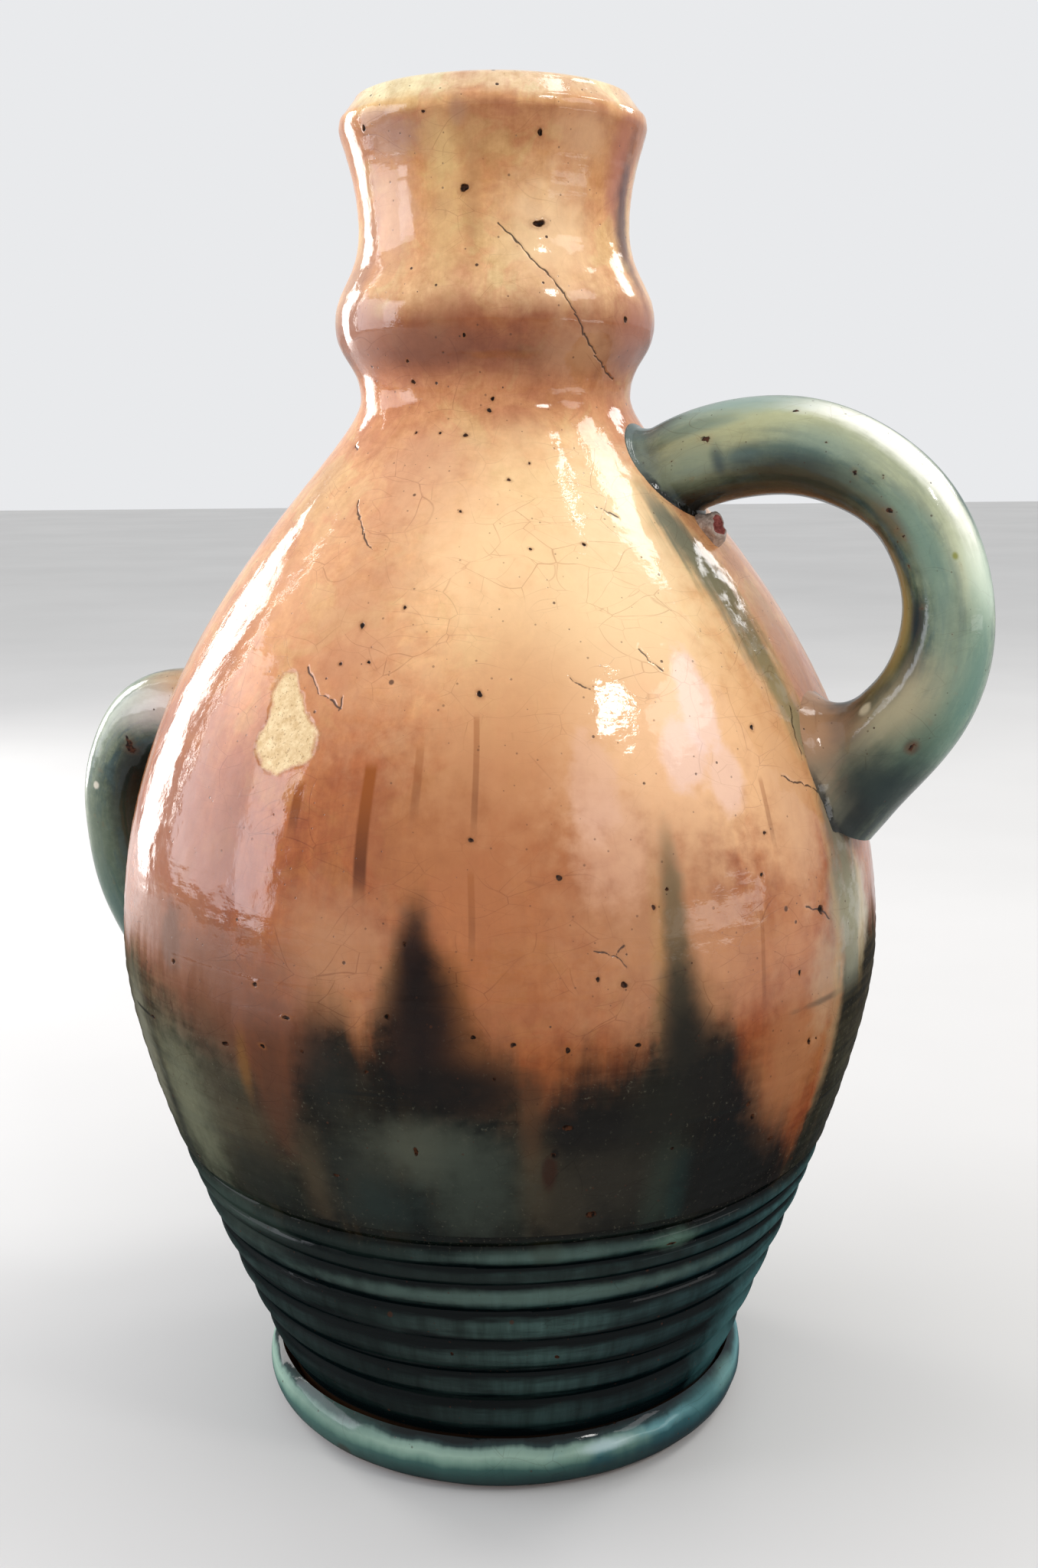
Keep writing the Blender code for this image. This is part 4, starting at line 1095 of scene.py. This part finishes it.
RIGHT_TINTS = (
    (10, 280, 12, 6, (158, 156, 118), 0.75), (24, 312, 14, 5, (190, 190, 144), 0.75),
    (45, 302, 16, 4, (192, 196, 160), 0.6), (66, 318, 9, 4, (206, 210, 176), 0.8, 0.7),
    # (46, 331) is a painted highlight, white along the top of the loop
    (70, 336, 8, 4, (208, 224, 204), 0.75, 0.7), (46, 331, 19, 3.1, (255, 255, 240), 1, 0.5),
    (16, 336, 12, 3, (132, 158, 160), 0.7), (34, 282, 8, 3, (120, 142, 130), 0.6),
    (8, 262, 7, 3, (124, 142, 126), 0.5), (12, 330, 12, 4, (150, 174, 160), 0.5),
    (0, 345, 6, 5, (92, 108, 108), 0.75, 0.6), (-2, 290, 4, 5, (104, 116, 112), 0.6, 0.6),
    (13.6, 256, 1.2, 2.6, (34, 54, 64), 0.75, 0.9), (19, 258, 4, 1.8, (62, 86, 88), 0.75, 0.6),
    (30, 264, 9, 1.8, (66, 90, 88), 0.7, 0.6), (10, 305, 7, 1.6, (98, 120, 110), 0.6, 0.6),
    # (30, 240), (40, 252), (26, 208) and (50, 190) are painted shade on the underside of the loop
    (30, 240, 15, 2.6, (34, 38, 32), 0.85, 0.7), (40, 252, 14, 2.6, (52, 58, 48), 0.75, 0.7),
    (26, 208, 20, 4.6, (52, 46, 34), 0.85, 0.7), (58, 262, 16, 3, (116, 134, 114), 0.6, 0.7),
    (54, 250, 6, 2, (84, 66, 46), 0.6, 0.7), (66, 276, 15, 2.6, (118, 146, 130), 0.6, 0.7),
    (82, 322, 9, 4, (126, 154, 136), 0.7, 0.7), (94, 322, 13, 5, (96, 130, 116), 0.8),
    (84, 286, 14, 4, (140, 152, 130), 0.6), (80, 212, 17, 3, (146, 132, 78), 0.75, 0.7),
    (76, 241, 5, 1.8, (32, 42, 50), 0.9, 0.7), (87, 244, 5.5, 2.2, (34, 44, 48), 0.9, 0.7),
    (95, 237, 4, 2.4, (38, 46, 46), 0.85, 0.5), (50, 190, 12, 3, (40, 44, 38), 0.7, 0.7),
    (97, 262, 11, 4.6, (176, 166, 134), 0.85), (109, 222, 7, 4.6, (160, 126, 100), 0.8),
    # (1, 205) is painted shade in the crevice under the upper root
    (108, 272, 6, 4, (108, 108, 88), 0.7), (1, 205, 6, 6, (20, 18, 15), 0.9, 0.6),
    (101, 302, 8, 5, (76, 96, 80), 0.8), (111, 300, 7, 6, (24, 40, 36), 0.9, 0.7),
    (117, 303, 5, 7, (12, 18, 17), 0.9, 0.7), (118, 284, 4, 5, (20, 25, 23), 0.85, 0.6),
    (108, 335, 8, 7, (26, 42, 42), 0.85, 0.7), (118, 262, 5, 5, (96, 96, 80), 0.6, 0.7),
    (116, 195, 5, 9, (184, 140, 106), 0.8, 0.6), (99.3, 297, 1.3, 1.3, (70, 50, 36), 0.7, 0.6),
    # (120, 318) is a painted highlight on the lower root
    (65.1, 300, 0.6, 0.6, (128, 130, 34), 0.8, 0.6), (120, 318, 2, 3, (206, 204, 194), 0.8, 0.4),
    (100.3, 228, 1.6, 1, (206, 196, 168), 0.8, 0.4),
)
RIGHT_SEAM = (
    # (0, 235) is painted shade in the crevice under the upper root; the others are dark joints and a
    # blue-grey tone
    (0, 300, 14, 10, (84, 94, 92), 0.6, 0.6), (0, 235, 14, 6, (18, 18, 17), 0.9, 0.5),
    (118, 290, 14, 6, (16, 18, 16), 0.9, 0.5),
)
RIGHT_SKIRT = ((114, 205, 18, 9, (176, 134, 100), 0.95, 0.5), (114, 262, 12, 4, (112, 108, 90), 0.7, 0.7))
material = handle_material("grey_green_glaze", RIGHT_TINTS, RIGHT_SKIRT, RIGHT_SEAM)
right_handle.data.materials.append(material)
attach(right_handle, "root")
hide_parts("right_handle", "right_upper_luting", "right_lower_luting")

# Clay nub
# What is left of a lump of clay that was pressed on below the right handle's upper root and broke off: a
# stump with a pinkish, glazed rim round the bare red-brown break.
NUB_AZIMUTH = 62.5
NUB_HEIGHT = 193.2
# Radius, height and whether it is the bare core
NUB_PROFILE = (
    (0, -1.4, 0), (3.5, -1.4, 0), (3.3, 0, 0), (2.9, 1.2, 0), (2.6, 2.2, 0), (2.4, 2.9, 0), (2, 3.2, 0),
    (1.6, 3, 1), (1.2, 2.5, 1), (0.6, 2.2, 1), (0, 2.1, 1),
)
mesh = turned_mesh(NUB_PROFILE, 40)
co, azimuth, z, core = places_of(mesh)
lumps = 1 + waves(azimuth, z, (0.14, 2, 0.5, 0.4), (0.1, 3, -0.9, 2), (0.05, 7, 1.7, 1))
tilts = waves(azimuth, z, (0.28, 1, 0, 2.4), (0.16, 3, 0, 0.9), (0.1, 8, 0, 0))
co *= np.stack([0.95 * lumps, 1.05 * lumps, np.ones_like(z)], 1)
co[:, 2] += tilts * np.clip(z, 0, 2) / 2
angle = math.radians(NUB_AZIMUTH)
outward = np.array([math.sin(angle), -math.cos(angle), 0])
axis = outward + np.array([-0.1, -0.75, 0.6])
axis /= np.linalg.norm(axis)
across = np.cross([0, 0, 1], axis)
across /= np.linalg.norm(across)
middle = wall_radius(NUB_HEIGHT) * outward + [0, 0, NUB_HEIGHT]
co = middle + co @ np.array([across, np.cross(axis, across), axis])
nub = finished_piece("clay_nub", mesh, co, {"core": core})

material, place = glaze_material("broken_clay")
grain = noise(place.skin, 0.9, 4, 0.7)
rim = ramp(grain, (0.3, (132, 112, 100)), (0.7, (206, 186, 172)))
broken = ramp(grain, (0.3, (104, 52, 48)), (0.7, (186, 108, 100)))
bare = ease(mark("core") + (grain - 0.5) * 0.6, 0.35, 0.65)
nodes = material.node_tree.nodes
plug(nodes["Principled BSDF"], {"Base Color": blend(bare, rim, broken), "Coat Weight": 0.65 - bare * 0.6})
plug(nodes["Bump"], {"Height": grain * 0.25})
nub.data.materials.append(material)
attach(nub, "root")

# Left handle
# The same kind of coil, slimmer in the loop and set low on the other side, half behind the belly as the
# pot is seen. Its roots are pressed on in the same way, and a thick run of glaze hardened in the bend.
LEFT = {
    "azimuth": 150, "upper": (147, 15.8, 27.6), "lower": (80.5, 18.9, 19.5), "outer": (110.5, 123),
    "rise": 12.6, "fall": 21.5,
}
LEFT_DENTS = ((33, 60, 0.3, 8), (60, 200, 0.3, 9))
LEFT_CHIPS = (
    (28.7, 120, 1.7), (29.8, 128, 1.3), (27.4, 112, 1), (52.9, 87, 0.45), (54.9, 102, 0.4),
    (56.9, 117, 0.4), (40.8, 93, 0.5), (70, 96, 0.4), (64, 70, 0.3), (48, 60, 0.3), (36, 80, 0.3),
    (80, 90, 0.5),
)
LEFT_TINTS = (
    (8, 50, 9, 7, (198, 152, 112), 0.8, 0.7), (17, 80, 9, 5, (190, 178, 172), 0.65, 0.7),
    # (35, 147) and (60, 150) are painted shade on the inner side of the loop
    (30, 58, 15, 5, (170, 178, 160), 0.6), (35, 147, 15, 5, (36, 40, 36), 0.85, 0.7),
    (60, 81, 14, 7, (88, 100, 82), 0.8), (80, 60, 15, 8, (60, 84, 76), 0.85),
    (97, 60, 12, 9, (34, 64, 64), 0.85), (44.9, 90, 0.9, 0.9, (214, 206, 188), 0.8, 0.4),
    (90, 120, 12, 8, (46, 66, 60), 0.7), (60, 150, 14, 4, (60, 66, 54), 0.7, 0.7),
)
LEFT_SEAM = ((0, 90, 14, 12, (30, 26, 22), 0.8, 0.6), (109, 90, 14, 12, (16, 18, 16), 0.8, 0.6))
LEFT_SKIRT = ((0, 60, 12, 9, (196, 144, 106), 0.7, 0.6),)
left_handle = handle_piece("left_handle_coil", LEFT, LEFT_DENTS, LEFT_CHIPS)
material = handle_material("grey_green_glaze_left", LEFT_TINTS, LEFT_SKIRT, LEFT_SEAM)
left_handle.data.materials.append(material)
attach(left_handle, "root")
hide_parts("left_handle", "left_upper_luting", "left_lower_luting")

# Floor
# A pale plain floor that the pot stands on, wide enough for every view.
FLOOR_HALF = 6000
mesh = bmesh.new()
corners = [(x * FLOOR_HALF, y * FLOOR_HALF, 0) for x, y in ((-1, -1), (1, -1), (1, 1), (-1, 1))]
mesh.faces.new([mesh.verts.new(corner) for corner in corners])
floor = finished_piece("floor", mesh, corners, {})
floor.data.materials.append(new_material("pale_floor"))
cloudy = ramp(noise(add("ShaderNodeTexCoord").Object, 3, 4), (0.3, (206, 205, 203)), (0.7, (214, 213, 211)))
plug(Value.tree.nodes["Principled BSDF"], {"Base Color": cloudy, "Roughness": 0.7})

# Light
# A soft room: pale all round, a tall window behind on the left with a pale wall beside it, a small
# bright window high in front on the right, wide ones behind and above on the right, and a low pale sill.
world = bpy.data.worlds.new("pale_room")
bpy.context.scene.world = world
world.use_nodes = True
plug(world.node_tree.nodes["Background"], {"Color": (0.97, 0.98, 1, 1), "Strength": 0.84})
POT_MIDDLE = 0.15


def soft_light(name, azimuth, elevation, distance, size, power, colour, lean=0, shape="RECTANGLE"):
    """A flat lamp that faces the middle of the pot: azimuth from the front, in degrees, + to the right."""
    light = bpy.data.lights.new(name, "AREA")
    light.shape = shape
    light.size, light.size_y = size
    light.energy = power
    light.color = colour
    lamp = bpy.data.objects.new(name, light)
    a, e = math.radians(azimuth), math.radians(elevation)
    lamp.location = (distance * math.sin(a) * math.cos(e), -distance * math.cos(a) * math.cos(e),
                     POT_MIDDLE + distance * math.sin(e))
    aim = Matrix.Rotation(a, 3, "Z") @ Matrix.Rotation(math.pi / 2 - e, 3, "X")
    lamp.rotation_euler = (aim @ Matrix.Rotation(math.radians(lean), 3, "Z")).to_euler()
    lamp.visible_camera = False
    bpy.context.scene.collection.objects.link(lamp)


soft_light("window_left", -132, 9.5, 1, (0.28, 0.64), 4.8, (1, 0.98, 0.96))
soft_light("window_edge", -115.5, 20.5, 1, (0.014, 0.75), 0.5, (1, 0.98, 0.96))
soft_light("wall_left", -92, 13.5, 1.3, (1.04, 0.77), 8.6, (0.92, 0.92, 1))
soft_light("wall_near", -75.5, 11, 1.3, (0.33, 0.66), 2.1, (0.9, 0.91, 1))
soft_light("window_right", 45, 41, 1.3, (0.19, 0.15), 2, (1, 0.98, 0.95), 20, "ELLIPSE")
soft_light("window_high", 78, 65, 1.3, (0.12, 0.05), 0.3, (0.9, 0.94, 1))
soft_light("window_back_right", 126, 29, 1.3, (0.26, 0.26), 1.8, (1, 0.98, 0.98))
soft_light("window_back_high", 108, 50, 1.3, (0.4, 0.24), 2.6, (1, 0.98, 0.96))
soft_light("skylight", 106, 67, 1.3, (0.24, 0.2), 1.3, (1, 0.99, 0.97))
soft_light("sill_right", 64, -0.5, 1.3, (0.8, 0.13), 1, (1, 0.98, 0.96))
soft_light("curtain_right", 70, 34, 1.3, (0.46, 0.24), 1.2, (1, 0.94, 0.94), 12)

# Camera
# Where the photographer stood: close, a little above the shoulder of the pot, looking down at it.
CAMERA_PLACE = (0, -0.36857, 0.20985)
CAMERA_DOWN = 0.19375
CAMERA_RIGHT = 0.01148
CAMERA_ROLL = 0.00865
# Focal length as a share of the picture's height
LENS_SHARE = 2238.3 / 2048

camera = bpy.data.cameras.new("camera")
camera.sensor_fit = "VERTICAL"
camera.sensor_height = 36
camera.lens = camera.sensor_height * LENS_SHARE
camera.clip_start = 0.01
view = bpy.data.objects.new("camera", camera)
bpy.context.scene.collection.objects.link(view)
tilt = Matrix.Rotation(math.pi / 2 - CAMERA_DOWN, 4, "X") @ Matrix.Rotation(-CAMERA_ROLL, 4, "Z")
view.matrix_world = Matrix.Translation(CAMERA_PLACE) @ Matrix.Rotation(-CAMERA_RIGHT, 4, "Z") @ tilt
bpy.context.scene.camera = view
bpy.context.scene.view_settings.view_transform = "Standard"
